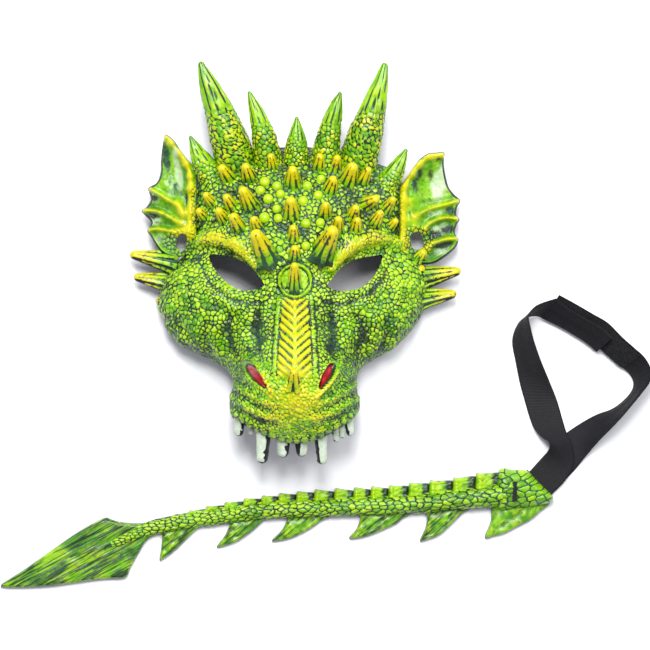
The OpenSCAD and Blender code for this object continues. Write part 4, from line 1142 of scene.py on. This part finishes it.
def tooth(geo, a, b, ra, rb, seed, black=(0, 0), flat=0.8):
    """A blunt fang from root a to end b; `black` says how much of its -X and +X sides is left unpainted."""
    a, b = np.array(a, float), np.array(b, float)
    d, e1, e2 = frame_of(b - a)
    if e1[0] < 0:
        e1, e2 = -e1, -e2
    n, m = 36, 34
    t = np.linspace(0, 1, m)
    rad = ra + (rb - ra) * t ** 0.9
    L = np.linalg.norm(b - a)
    cap = np.clip((t * L - (L - rb)) / rb, 0, 1)
    rad = rad * np.sqrt(np.clip(1 - cap ** 2, 0.0004, 1))
    th = np.linspace(0, 2 * np.pi, n, endpoint=False)
    T, H = np.meshgrid(t, th, indexing="ij")
    D = np.cos(H)[..., None] * e1 + np.sin(H)[..., None] * e2 * flat
    P = (a + (b - a) * T[..., None] + (rad[:, None] * (1 + 0.03 * np.cos(5 * H + seed)))[..., None] * D).reshape(-1, 3)
    f = grid_faces(m, n, close_v=True)
    D = D.reshape(-1, 3)
    if (vert_normals(P, tris_of(f)) * D).sum() < 0:
        f = [q[::-1] for q in f]
    rg_ = vnoise(P, 2.0, seed + 3)
    P = P + D * (0.22 * vnoise(P, 2.2, seed) + 0.35 * rg_ * T.ravel() ** 3)[:, None]
    nn = vert_normals(P, tris_of(f))
    bare = bare_of(nn, 0.30, 0.0)
    side = nn @ unit(e1) + 0.22 * rg_
    bare = np.maximum(bare, black[0] * smooth(0.10, 0.40, -side))
    bare = np.maximum(bare, black[1] * smooth(0.10, 0.40, side))
    bare = np.maximum(bare, 0.8 * smooth(0.90, 0.98, T.ravel() + 0.05 * rg_))
    geo.add(P, f, cav=0.4 * np.exp(-T.ravel() * 6), var=0.5, bare=bare)


def px(x, y, z):
    return ((x - 326) * 0.7, (325 - y) * 0.7, z)


def make_teeth():
    geo = Geo()
    tooth(geo, px(265, 423, 49), px(262.5, 462, 46), 5.9, 3.6, 1, (0, 1.0))
    tooth(geo, px(320, 424, 49), px(322.5, 463, 46), 5.4, 3.2, 2, (1.0, 0))
    tooth(geo, px(284, 432, 49), px(283.5, 456, 47), 5.7, 3.6, 3, (0.0, 0.9))
    tooth(geo, px(301.5, 433, 49), px(302, 455, 47), 5.6, 3.3, 4, (0.8, 0.0))
    build("fangs_skin", geo, M_TOOTH, "mask", ("fangs",))
    geo = Geo()
    tooth(geo, px(240.5, 412, 44), px(239.5, 435, 42), 4.3, 2.8, 5, (0, 0.7))
    tooth(geo, px(252.5, 421, 47), px(252, 434, 44.5), 2.6, 1.6, 6)
    tooth(geo, px(334.5, 424, 47), px(336, 441, 44.5), 3.1, 1.9, 7, (0.5, 0))
    tooth(geo, px(341, 421, 46), px(342, 437, 43.5), 2.6, 1.7, 8, (0.5, 0))
    tooth(geo, px(347.5, 413, 44), px(350.5, 435, 42), 4.1, 2.4, 9, (0.6, 0))
    build("small_teeth_skin", geo, M_TOOTH, "mask", ("small_teeth",))


# ------------------------------------------------------------------ tail
CORE = np.array([[-150, -153.5, 3, 5.5], [-138, -148.5, 4, 6.5], [-125, -143, 5, 8], [-110, -139.5, 5.6, 9],
                 [-81, -134.5, 6, 9.6], [-51, -130.5, 6.3, 10.4], [-22, -128.5, 6.5, 11.2], [3, -127.5, 6.5, 11.8],
                 [31, -126.5, 6.6, 12.4], [59, -125, 6.8, 13], [87, -122.5, 7.2, 13.8], [108, -120.5, 7.8, 14.4],
                 [123, -118.5, 8.4, 15]])
PLATE_X = [-108, -96, -84, -71, -57.5, -45, -33, -20.5, -8, 6, 19.5, 31.5, 44, 58, 72.5, 89, 105, 122.6]


def top_y(x):
    return np.interp(x, [-125, -107, -84, -57, -32, -8, 20, 44, 73, 90, 105, 123],
                     [-138.5, -133.5, -127.5, -122, -118.5, -116, -114.5, -113, -109.5, -107.5, -104.5, -102])


def mid_y(x):
    return np.interp(x, CORE[:, 0], CORE[:, 1] + CORE[:, 2] * 0.6)


def slab(geo, outline, c, height, bevel, z0=0.0, n=160, m=26, detail=None, smooth_k=6, edge_share=0.35, bare_edge=0.0):
    """A flat-backed piece over an outline: height(x, y) in the middle, rounded down at its edge."""
    out = resample(cr(outline, smooth_k, True) if smooth_k > 1 else np.array(outline, float), n, True)
    area2 = (out[:, 0] * np.roll(out[:, 1], -1) - np.roll(out[:, 0], -1) * out[:, 1]).sum()
    if area2 < 0:
        out = out[::-1]
    c = np.array(c, float)
    k = np.linspace(0, 1, m + 1)[1:] ** 0.8
    P = np.vstack([[c]] + [c + (out - c) * q for q in k])
    f = [(0, 1 + i, 1 + (i + 1) % n) for i in range(n)] + grid_faces(m, n, close_v=True, base=1)
    x, y = P[:, 0], P[:, 1]
    edge, _ = path_dist(x, y, np.vstack([out, out[:1]])[::2].tolist() + [out[0].tolist()])
    prof = np.sqrt(np.clip(1 - (1 - np.clip(edge / bevel, 0, 1)) ** 2, 0, 1))
    hh, cav, yel, var = detail(x, y, edge) if detail else (0, 0.2, 0.3, 0.5)
    z = z0 + (height(x, y)) * (edge_share + (1 - edge_share) * prof) + hh * prof
    V = np.c_[x, y, z]
    bare = np.maximum(bare_edge * smooth(bevel * 0.5, 0, edge), 0)
    geo.add(V, f, cav, yel, var, bare)
    r0 = np.arange(1 + (m - 1) * n, 1 + m * n)
    side = [V[r0]]
    for s in (0.5, 0.0):
        q = V[r0].copy()
        q[:, 2] = z0 + (q[:, 2] - z0) * s
        side.append(q)
    geo.add(np.vstack(side), grid_faces(3, n, close_v=True), cav=0.7, bare=1.0)
    B = np.vstack([[[c[0], c[1], z0]], np.c_[out, np.full(n, z0)]])
    geo.add(B, [(0, 1 + (i + 1) % n, 1 + i) for i in range(n)], cav=0.7, bare=1.0)


def skin_detail(seed, r, amp, yel0=0.15, cav0=0.2):
    def f(x, y, edge):
        P = np.c_[x, y, 0 * x]
        sh, sc, pil, rnd = scale_relief(P, r, seed, 1.0, tilt=(-1, 0, 0), stretch=((0.97, 0.22, 0), 1.75), uneven=0.18)
        big = vnoise(P, 9, seed + 1)
        return (amp * sh + 0.25 * vnoise(P, 1.7, seed + 2) + 0.3 * vnoise(P, 6, seed + 3), cav0 + 0.85 * sc + 0.25 * np.clip(big, 0, 1) - 0.05,
                yel0 + pil * (0.08 + 0.16 * rnd), 0.55 + 0.4 * (rnd - 0.5) + 0.2 * big)
    return f


def make_tail():
    # core
    line = resample(cr(CORE, 12), 560)
    line[:, 3] += 1.8 * smooth(-116, -136, line[:, 0])
    n = 44
    w = np.linspace(0, np.pi, n)
    tan = unit(np.gradient(line[:, :2], axis=0))
    nor = np.c_[-tan[:, 1], tan[:, 0]]
    P = np.stack([line[:, None, 0] + nor[:, None, 0] * line[:, None, 2] * np.cos(w), line[:, None, 1] + nor[:, None, 1] * line[:, None, 2] * np.cos(w),
                  line[:, None, 3] * np.sin(w)[None] ** 0.7], -1).reshape(-1, 3)
    f = grid_faces(len(line), n)
    nn = vert_normals(P, tris_of(f))
    if nn[:, 2].sum() < 0:
        f = [q[::-1] for q in f]
        nn = -nn
    W = np.tile(w, len(line))
    edge = np.sin(W)
    sh, sc, pil, rnd = scale_relief(P, np.interp(P[:, 0], [-150, 123], [1.15, 1.95]), 61, 1.0, tilt=(-1, 0, 0), stretch=((0.995, 0.1, 0), 1.7), uneven=0.15)
    h = (sh * 0.95 + 0.2 * vnoise(P, 1.6, 62) + 0.3 * vnoise(P, 6, 63)) * smooth(0.02, 0.25, edge)
    P = P + nn * h[:, None]
    P[:, 2] = np.maximum(P[:, 2], 0)
    big = vnoise(P, 12, 64)
    upper = smooth(-0.2, 0.7, np.cos(W))
    geo = Geo()
    geo.add(P, f, 0.06 + 0.92 * sc + 0.25 * np.clip(big, 0, 1) + 0.3 * smooth(0.55, 0.15, edge), 0.06 + pil * (0.08 + 0.16 * rnd) * smooth(0.1, 0.8, edge) + 0.08 * upper,
            0.62 + 0.4 * (rnd - 0.5) + 0.2 * big, smooth(0.16, 0.04, edge) * (np.cos(W) < 0))
    for i in (0, len(line) - 1):
        a = P[i * n:(i + 1) * n]
        geo.add(np.vstack([a, [a.mean(0)]]), [(j, j + 1, n) if i else (j + 1, j, n) for j in range(n - 1)], cav=0.6, bare=0.5)
    bot = np.vstack([P[0::n], P[n - 1::n]])
    bot[:, 2] = 0
    L = len(line)
    geo.add(bot, [(j, j + 1, L + j + 1, L + j)[::1] for j in range(L - 1)], cav=0.7, bare=1.0)
    build("tail_core_skin", geo, M_TAIL, "tail", ("tail_core",))
    # back plates
    geo = Geo()
    for i in range(17):
        a, b = PLATE_X[i], PLATE_X[i + 1]
        hi = 9 * (0.7 + i * 0.019)
        ya, yb = top_y(a), top_y(b)
        poly = [(a - 0.2, mid_y(a)), (a - 0.6, (mid_y(a) + ya) / 2), (a - 0.1, ya + 0.2), (a + 1.2, ya + 1.1), (a + 3.4, ya + 0.7), ((a + b) / 2, (ya + yb) / 2 - 0.2),
                (b - 0.7, yb - 1.3), (b - 0.5, (mid_y(b) + yb) / 2), (b - 0.7, mid_y(b)), ((a + b) / 2, mid_y((a + b) / 2))]

        def hgt(x, y, a=a, b=b, hi=hi):
            t = np.clip((x - a) / (b - a), 0, 1)
            return hi * (1.06 - 0.30 * smooth(0.0, 0.9, t))

        def det(x, y, edge, a=a, b=b, i=i, ya=ya):
            P = np.c_[x, y, 0 * x + i * 20]
            t = (x - a) / (b - a)
            v = (y - mid_y(x)) / (top_y(x) - mid_y(x) + 1e-6)
            nz = vnoise(P, 2.6, 70 + i)
            st = vnoise(P * [0.45, 1.6, 1], 1.8, 90 + i)
            h = 0.22 * nz + 0.18 * st + 0.9 * g(t - 0.14, 0.09)
            lines = np.sin(v * 15 + 3 * nz)
            h = h + 0.16 * lines
            cav = 0.12 + 0.78 * smooth(0.48, 0.95, t) + 0.20 * np.clip(nz, 0, 1) + 0.35 * smooth(0.25, -0.05, v) + 0.12 * (lines < -0.5)
            yel = 0.03 + 0.22 * g(t - 0.17, 0.17) + 0.18 * g(v - 0.9, 0.25) + 0.08 * st
            return h, cav, yel, 0.6 + 0.3 * nz + 0.2 * g(t - 0.17, 0.2)
        slab(geo, poly, ((a + b) / 2, (mid_y((a + b) / 2) * 0.5 + top_y((a + b) / 2) * 0.5)), hgt, 2.0, n=110, m=16, detail=det, smooth_k=6, edge_share=0.45, bare_edge=0.55)
    build("tail_plates_skin", geo, M_TAIL, "tail", ("tail_plates",))
    # fins
    fins = [([(-115, -139), (-114.6, -147), (-115.4, -156), (-116.4, -164.5), (-112, -162.6), (-105, -157.2), (-98.5, -150.8), (-92, -144.5), (-87, -140.5), (-88, -136.5), (-102, -137)], (-107, -147)),
            ([(-66, -133), (-67.5, -140), (-71, -147.5), (-76.5, -155.2), (-70, -154.4), (-61, -150.8), (-51, -143.8), (-44, -137.5), (-39.5, -134.2), (-41, -130.5), (-54, -131)], (-58.5, -141)),
            ([(-26.5, -130), (-27.5, -137), (-31.5, -144), (-38, -150.8), (-31, -150.8), (-22, -148.3), (-10, -142), (-3, -137), (4.5, -133.5), (3.5, -128.5), (-12, -129)], (-16.5, -139)),
            ([(24, -128), (23.6, -136), (21, -143), (16, -149.2), (24, -149), (33, -146.3), (48.5, -139.5), (54, -135.2), (61, -131.5), (60, -126.5), (42, -127)], (35.5, -137)),
            ([(70, -126), (70.6, -134), (69.4, -142), (65.6, -151.2), (72, -149.8), (80, -146.5), (90.5, -137), (96, -131.5), (102, -128.5), (101, -122.5), (86, -124)], (80, -136))]
    geo = Geo()
    for i, (poly, c) in enumerate(fins):
        x0, x1 = poly[0][0], poly[8][0]

        def det(x, y, edge, i=i, x0=x0, c=c):
            P = np.c_[x, y, 0 * x + i * 30]
            a = np.arctan2(y - (c[1] + 14), x - (c[0] + 22))
            st = np.sin(a * 26 + 2.2 * vnoise(P, 6, 110 + i))
            nz = vnoise(P, 3.0, 120 + i)
            lead = g(x - (x0 - 1.0), 4.5)
            return (0.22 * st + 0.2 * nz, 0.20 + 0.12 * (st < -0.3) + 0.16 * np.clip(nz, 0, 1) + 0.40 * smooth(c[1] + 3, c[1] + 10, y) - 0.1 * lead,
                    0.06 + 0.25 * lead + 0.22 * smooth(0.2, 0.9, st) + 0.15 * g(edge - 1.5, 1.2), 0.45 + 0.4 * nz)
        slab(geo, poly, c, lambda x, y: 5.2 + 0 * x, 2.2, n=190, m=30, detail=det, smooth_k=6, edge_share=0.25, bare_edge=0.7)
    build("tail_fins_skin", geo, M_FIN, "tail", ("tail_fins",))
    # blade
    blade = [(-227.6, -182.9), (-212, -171.6), (-193, -158.2), (-174, -145), (-156, -135.2), (-150.5, -135.9), (-145.5, -137.4), (-139, -138.3), (-131, -138.6), (-123, -138.2),
             (-109, -136), (-109, -142), (-117, -145.2), (-125.5, -151), (-129.5, -157), (-133.5, -164), (-137, -170.4), (-140.4, -176.8), (-152, -177.6), (-163, -178.6), (-184, -181.6), (-202, -183.3)]

    def bdet(x, y, edge):
        P = np.c_[x, y, 0 * x]
        ex, ey = math.cos(math.radians(31)), math.sin(math.radians(31))
        al, ac = x * ex + y * ey, -x * ey + y * ex
        Q3 = np.c_[al * 0.16, ac, 0 * x]
        st = vnoise(Q3, 1.7, 140) * 0.6 + vnoise(Q3, 3.6, 141) * 0.5
        nz = vnoise(P, 8, 142)
        spine_ = g(ac - np.interp(al, [-300, -100], [-41, -52]), 2.4)
        return (0.45 * st + 0.3 * nz, 0.20 + 0.30 * smooth(0.0, 0.7, st) + 0.18 * np.clip(nz, 0, 1) - 0.15 * smooth(3, 0, edge), 0.05 + 0.15 * smooth(-0.1, -0.8, st) + 0.15 * g(edge - 1.2, 1.4), 0.45 + 0.4 * nz)
    geo = Geo()
    slab(geo, blade, (-158, -160), lambda x, y: 5.0 + 0.9 * smooth(0, 30, x + 227), 2.4, n=420, m=70, detail=bdet, smooth_k=5, edge_share=0.3, bare_edge=0.5)
    build("tail_blade_skin", geo, M_BLADE, "tail", ("tail_blade",))
    # thick end
    base1 = [(120.5, -102.4), (131, -101.3), (140.3, -101.8), (146, -107.2), (151.7, -113), (157.5, -118.5), (158.8, -121.6), (155.3, -124.6), (146, -126.6), (134, -128), (120.5, -128.2)]
    geo = Geo()
    slab(geo, base1, (138, -115), lambda x, y: 14.2 - 0.022 * (y + 115) ** 2, 5.0, n=300, m=60, detail=skin_detail(160, 2.05, 1.0, 0.06, 0.10), smooth_k=6, edge_share=0.42, z0=0.0, bare_edge=0.3)
    fin6 = [(116, -124), (115.6, -131), (115, -138), (111, -148.8), (118, -147.6), (125.5, -145.5), (134, -141.2), (143, -136.5), (150, -130.5), (156, -124.2), (138, -121), (122, -122)]

    def d6(x, y, edge):
        P = np.c_[x, y, 0 * x]
        a = np.arctan2(y + 118, x - 152)
        st = np.sin(a * 26 + 2.2 * vnoise(P, 6, 171))
        nz = vnoise(P, 3.0, 172)
        return (0.22 * st + 0.2 * nz, 0.20 + 0.12 * (st < -0.3) + 0.18 * np.clip(nz, 0, 1), 0.06 + 0.22 * g(x - 115, 4.5) + 0.22 * smooth(0.2, 0.9, st), 0.45 + 0.4 * nz)
    slab(geo, fin6, (131, -133), lambda x, y: 5.3 + 0 * x, 2.2, n=190, m=30, detail=d6, smooth_k=6, edge_share=0.25, bare_edge=0.7)
    build("tail_base_skin", geo, M_TAIL, "tail", ("tail_base",))


# ------------------------------------------------------------------ waist strap
def m_elastic(name, base, sheen, seed):
    m, nt, bs = new_mat(name)
    at = attr(nt, "cav")                       # 0 on the rib's crown, 1 in the groove between ribs
    al = attr(nt, "yel")                       # place along the band, in mm / 100
    mid = noisen(nt, 420, 4.0, 0.6, seed=seed)
    weft = mathn(nt, "SINE", mathn(nt, "MULTIPLY", al, 100 * 2 * math.pi / 1.15))
    col = mixc(nt, ramp(nt, mid, 0.3, 0.7), tuple(c * 0.75 for c in base), tuple(c * 1.25 for c in base))
    col = mixc(nt, mathn(nt, "MULTIPLY", at, 0.65), col, tuple(c * 0.22 for c in base))
    col = mixc(nt, mathn(nt, "MULTIPLY", ramp(nt, weft, -0.2, -1.0), 0.45), col, tuple(c * 0.3 for c in base))
    nt.links.new(col, bs.inputs["Base Color"])
    bs.inputs["Roughness"].default_value = 0.60
    bs.inputs["Specular IOR Level"].default_value = 0.3
    bs.inputs["Sheen Weight"].default_value = sheen
    bs.inputs["Sheen Roughness"].default_value = 0.4
    h = mathn(nt, "ADD", mathn(nt, "MULTIPLY", weft, 0.5), mathn(nt, "MULTIPLY", mid, 0.6))
    bump(nt, bs, h, 0.5, 0.0004)
    return m


M_BAND_A = m_elastic("elastic_upper", (0.0095, 0.0088, 0.0120), 0.03, 1.0)
M_BAND_B = m_elastic("elastic_lower", (0.0075, 0.0074, 0.0110), 0.03, 2.0)


def m_fuzz():
    m, nt, bs = new_mat("loop_fuzz")
    a = noisen(nt, 700, 5.0, 0.7)
    b = noisen(nt, 2400, 4.0, 0.7, seed=4.0)
    col = mixc(nt, ramp(nt, a, 0.35, 0.65), (0.002, 0.002, 0.003), (0.016, 0.016, 0.019))
    nt.links.new(col, bs.inputs["Base Color"])
    bs.inputs["Roughness"].default_value = 0.9
    bs.inputs["Sheen Weight"].default_value = 0.12
    bs.inputs["Sheen Roughness"].default_value = 0.5
    bs.inputs["Specular IOR Level"].default_value = 0.2
    bump(nt, bs, mathn(nt, "ADD", a, b), 0.8, 0.0008)
    return m


M_FUZZ = m_fuzz()
M_THREAD = m_elastic("thread", (0.010, 0.010, 0.012), 0.3, 3.0)

OUT = np.array([0.678, 0.735]); EDGE = np.array([0.735, -0.678])
STRAP_T, PATCH_T = 1.2, 0.9
LOWER = np.array([[[159.6, -116.9, 1.1], [143.1, -101.7, 1.1]], [[166.5, -109.5, 1.1], [150, -94, 1.1]],
    [[174, -101.5, 1.1], [157.5, -86, 1.1]], [[182, -91.5, 4], [167, -76.5, 1.1]], [[190.5, -81, 12], [178.5, -68.5, 1.4]],
    [[199.5, -71.5, 18.5], [189.5, -62.5, 2]], [[207, -63, 21.8], [199.5, -59, 2]], [[214, -54.5, 22.5], [207, -54, 2]],
    [[220, -47, 22.5], [213, -47.5, 2]], [[225.5, -39.5, 21.5], [215, -41.5, 2]], [[226.5, -31, 19.3], [213, -35.5, 2.2]],
    [[222, -22.5, 18], [208.5, -31, 2.6]], [[215, -16, 18], [203, -27, 2.8]], [[206.5, -8.5, 18], [194.5, -19.5, 2.8]],
    [[196.5, 1.5, 17.6], [185, -11, 2.8]], [[185.5, 8, 18], [174.5, -4, 2.8]], [[173.5, 15, 18], [164, 2, 2.8]],
    [[162.5, 21, 18], [153.5, 7, 2.8]]], float)


def band_n(s):
    a = np.roll(s, 1, 0); a[0] = s[0]
    b = np.roll(s, -1, 0); b[-1] = s[-1]
    t = (b[:, 0] + b[:, 1] - a[:, 0] - a[:, 1])
    return unit(np.cross(t, s[:, 0] - s[:, 1]))


def shift(s, off, slide):
    nn, w = band_n(s), unit(s[:, 0] - s[:, 1])
    return s + (nn * off + w * slide)[:, None]


low3 = cr(LOWER.reshape(-1, 6), 3).reshape(-1, 2, 3)
flap_all = shift(low3, -(STRAP_T + 2 * PATCH_T + 0.5), -1.4)
flap3 = flap_all[51:39:-1]
flap_way = unit(flap3[1, 0] + flap3[1, 1] - flap3[0, 0] - flap3[0, 1])
UPPER = np.array([[[159.6, -116.9, 2.5], [143.1, -101.7, 2.5]], [[166, -110.5, 2.7], [149, -95.5, 2.9]],
    [[171, -103, 3], [154, -89.5, 6]], [[173.5, -95, 3.4], [156, -85, 10]], [[173, -88, 3.4], [155, -81.5, 12]],
    [[171, -80.5, 3], [150, -78, 8]], [[168, -74.5, 2.8], [145.5, -72.5, 4]], [[165, -64.5, 2.8], [142, -63.5, 1.4]],
    [[161.5, -52.5, 2.6], [138.8, -52.5, 1]], [[156, -39, 7], [135.5, -40.5, 1]], [[150, -25, 14], [132.5, -25.5, 1]],
    [[145, -11, 17.5], [130.2, -12.5, 1.2]], [[142.5, -1.5, 20], [131.8, -4, 1.4]], [[141, 5.5, 22.5], [136, 2.5, 1.6]],
    [[143.5, 10.5, 23.5], [142.5, 6, 2]], [[148.5, 14.5, 22], [148, 6, 2]],
    [flap3[0, 0] - flap_way, flap3[0, 1] - flap_way]], float)


def ribbon(geo, secs, th, across=48, ribs=15, rib_h=0.16, rough=0.0, per_mm=1.6, seed=0, s0=0.0):
    """A band through edge pairs, with ribs along it. cav is the groove between ribs and yel the place along it."""
    secs = np.asarray(secs, float)
    mid = secs.mean(1)
    L = np.r_[0, np.cumsum(np.linalg.norm(np.diff(mid, axis=0), axis=1))]
    nL = max(8, int(L[-1] * per_mm))
    t = np.linspace(0, L[-1], nL)
    flat = secs.reshape(-1, 6)
    # smooth through the given sections
    dense = cr(flat, 8)
    dm = dense.reshape(-1, 2, 3).mean(1)
    dl = np.r_[0, np.cumsum(np.linalg.norm(np.diff(dm, axis=0), axis=1))]
    t = np.linspace(0, dl[-1], nL)
    S = np.stack([np.interp(t, dl, dense[:, k]) for k in range(6)], 1).reshape(-1, 2, 3)
    N = band_n(S)
    for _ in range(3):
        N[1:-1] = unit(N[:-2] + N[1:-1] * 2 + N[2:])
    w = np.linspace(0, 1, across)
    prof = np.cos(2 * np.pi * ribs * w) * rib_h
    round_ = np.sqrt(np.clip(1 - (np.abs(2 * w - 1)) ** 14, 0, 1))
    rows = []
    for sgn in (1, -1):
        ww = w if sgn > 0 else w[::-1]
        pp = prof if sgn > 0 else prof[::-1]
        base = S[:, None, 0] * (1 - ww)[None, :, None] + S[:, None, 1] * ww[None, :, None]
        off = (th / 2 * round_ + pp * round_)[None, :, None] * sgn * N[:, None]
        rows.append(base + off)
    P = np.concatenate(rows, 1)
    m = P.shape[1]
    P = P.reshape(-1, 3)
    f = grid_faces(nL, m, close_v=True)
    groove = np.tile(np.r_[smooth(0.1, -0.9, np.cos(2 * np.pi * ribs * w)), smooth(0.1, -0.9, np.cos(2 * np.pi * ribs * w[::-1]))], nL)
    if rough:
        P = P + (vnoise(P, 1.1, seed) * rough)[:, None] * np.repeat(N, m, 0)
    nn = vert_normals(P, tris_of(f))
    cen = np.repeat(S.mean(1), m, 0)
    if (nn * (P - cen)).sum() < 0:
        f = [q[::-1] for q in f]
    geo.add(P, f, groove, (s0 + np.repeat(t, m)) / 100, 0.5)
    for i in (0, nL - 1):
        ring = P[i * m:(i + 1) * m]
        half = m // 2
        ends = [(j, j + 1, m - 2 - j, m - 1 - j) for j in range(half - 1)]
        geo.add(ring, [q if i else q[::-1] for q in ends], 0.8, 0.0, 0.5)
    return S


def fuzz(geo, S, off, seed, count, length=1.3):
    """Short loops of yarn standing on the band's face."""
    r = rng(seed)
    N = band_n(S)
    for _ in range(count):
        i = r.randint(0, len(S))
        w = r.rand()
        p = S[i, 0] * (1 - w) + S[i, 1] * w + N[i] * off
        d = unit(N[i] * 1.0 + (r.rand(3) - 0.5) * 1.6)
        s = unit(np.cross(d, r.rand(3) - 0.5)) * 0.045
        q = p + d * length * (0.4 + 0.6 * r.rand()) * 0.6
        e = q + unit(r.rand(3) - 0.5) * length * 0.45
        geo.add([p - s, p + s, q + s, q - s, e], [(0, 1, 2, 3), (3, 2, 4)], 0.3, 0.0, 0.5)


def plain(name, geo, mat_, nodes):
    v = np.vstack(geo.v)
    me = bpy.data.meshes.new(name)
    me.from_pydata(((v + [OX, OY, 0]) * 0.001).tolist(), [], geo.f)
    me.polygons.foreach_set("use_smooth", [True] * len(me.polygons))
    for k, x in geo.a.items():
        at = me.attributes.new(k, "FLOAT", "POINT")
        at.data.foreach_set("value", np.concatenate(x).astype(np.float32))
    me.materials.append(mat_)
    me.update()
    o = bpy.data.objects.new(name, me)
    scene.collection.objects.link(o)
    if nodes:
        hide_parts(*nodes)
    return o


def make_strap():
    back = np.array([-OUT[0], -OUT[1], 0]) * 7.5
    lo = np.concatenate([(LOWER[:1] + back), LOWER])
    up = np.concatenate([(UPPER[:1] + back), UPPER])
    up[0, :, 2] = 2.3
    geo = Geo()
    S_low = ribbon(geo, lo, STRAP_T, seed=1)
    low = plain("strap_band_lower", geo, M_BAND_B, ("strap_arm_lower",))
    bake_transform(low)
    geo = Geo()
    S_up = ribbon(geo, up, STRAP_T, seed=2)
    upo = plain("strap_band_upper", geo, M_BAND_A, ("strap_arm_upper", "strap_seam"))
    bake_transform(upo)
    # loop patch on the lower arm's end
    secs = shift(low3[34:][::-1], (STRAP_T + PATCH_T) / 2 + 0.02, 0)
    secs = np.stack([secs[:, 0] * 0.96 + secs[:, 1] * 0.04, secs[:, 1] * 0.96 + secs[:, 0] * 0.04], 1)
    geo = Geo()
    S = ribbon(geo, secs, PATCH_T, across=60, ribs=0, rib_h=0.0, rough=0.28, per_mm=2.4, seed=3)
    fuzz(geo, S, 0.35, 5, 9000)
    build("loop_patch_fuzz", geo, M_FUZZ, "strap", ("loop_patch",))
    # free end with its hooks
    fl = np.concatenate([[np.stack([flap3[0, 0] - flap_way * 1.15, flap3[0, 1] - flap_way * 1.15])], flap3])
    # its outer edge lies a little inside the loop patch, which shows beside it
    give = 0.12 * smooth(0, 3, np.arange(len(fl)) - 1.0)[:, None]
    fl = np.stack([fl[:, 0] * (1 - give) + fl[:, 1] * give, fl[:, 1]], 1)
    geo = Geo()
    ribbon(geo, fl, STRAP_T, seed=6)
    flo = plain("strap_band_flap", geo, M_BAND_A, ("strap_flap",))
    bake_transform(flo)
    secs = shift(flap3[2:], -(STRAP_T + PATCH_T) / 2 - 0.02, 0)
    secs = np.stack([secs[:, 0] * 0.83 + secs[:, 1] * 0.17, secs[:, 1] * 0.95 + secs[:, 0] * 0.05], 1)
    geo = Geo()
    ribbon(geo, secs, PATCH_T, across=60, ribs=28, rib_h=0.12, rough=0.10, per_mm=2.4, seed=7)
    hk = plain("hook_patch_hooks", geo, M_FUZZ, ("hook_patch",))
    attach(hk, "strap_flap")
    # bar tack: a dense row of thread across the tail's thick end
    geo = Geo()
    r = rng(8)
    for j in range(46):
        y = -122.6 + j * 0.29
        z = 14.0
        x0, x1 = 130.0 - 0.3 * r.rand(), 133.3 + 0.3 * r.rand()
        P = []
        for q in np.linspace(0, 1, 9):
            xx = x0 + (x1 - x0) * q
            zz = z + 0.65 * math.sin(math.pi * q) + 0.1 * r.rand() - 0.9 * (abs(q - 0.5) > 0.45)
            yy = y + (0.35 if j % 2 else -0.25) * (q - 0.5)
            for a in np.linspace(0, 2 * np.pi, 7)[:-1]:
                P.append((xx, yy + 0.20 * math.cos(a), zz + 0.20 * math.sin(a)))
        geo.add(P, grid_faces(9, 6, close_v=True), 0.2, 0.0, 0.5)
    lp = cr([(131, -118.5, 14.5), (127.8, -119.5, 14.9), (125.6, -117.4, 14.9), (126.8, -114.8, 14.9), (130.5, -114.6, 14.6)], 8)
    tn = unit(np.gradient(lp, axis=0))
    P = []
    for p, t in zip(lp, tn):
        a1 = unit(np.cross(t, [0, 0, 1.0])); a2 = np.cross(a1, t)
        for a in np.linspace(0, 2 * np.pi, 7)[:-1]:
            P.append(p + 0.19 * (a1 * math.cos(a) + a2 * math.sin(a)))
    geo.add(P, grid_faces(len(lp), 6, close_v=True), 0.2, 0.0, 0.5)
    for s in (-1, 1):
        P = []
        for z in (0.9, 14.2):
            for a in np.linspace(0, 2 * np.pi, 17)[:-1]:
                P.append((131.5 + 0.8 * math.cos(a), -116 + s * 5.5 + 0.8 * math.sin(a), z))
        geo.add(P, grid_faces(2, 16, close_v=True), 0.2, 0.0, 0.5)
    build("bar_tack_thread", geo, M_THREAD, "tail", ("strap_bar_tack",))
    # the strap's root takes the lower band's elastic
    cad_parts["strap_root"].data.materials.clear()
    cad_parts["strap_root"].data.materials.append(M_BAND_B)


make_shell()
make_spikes()
for i, (k, (pts, split)) in enumerate(HORNS.items()):
    make_horn(k, pts, split, 400 + 20 * i)
for i, (k, e) in enumerate(EARS.items()):
    make_ear(k, e, 600 + 20 * i)
make_nostrils()
make_teeth()
make_tail()
make_strap()
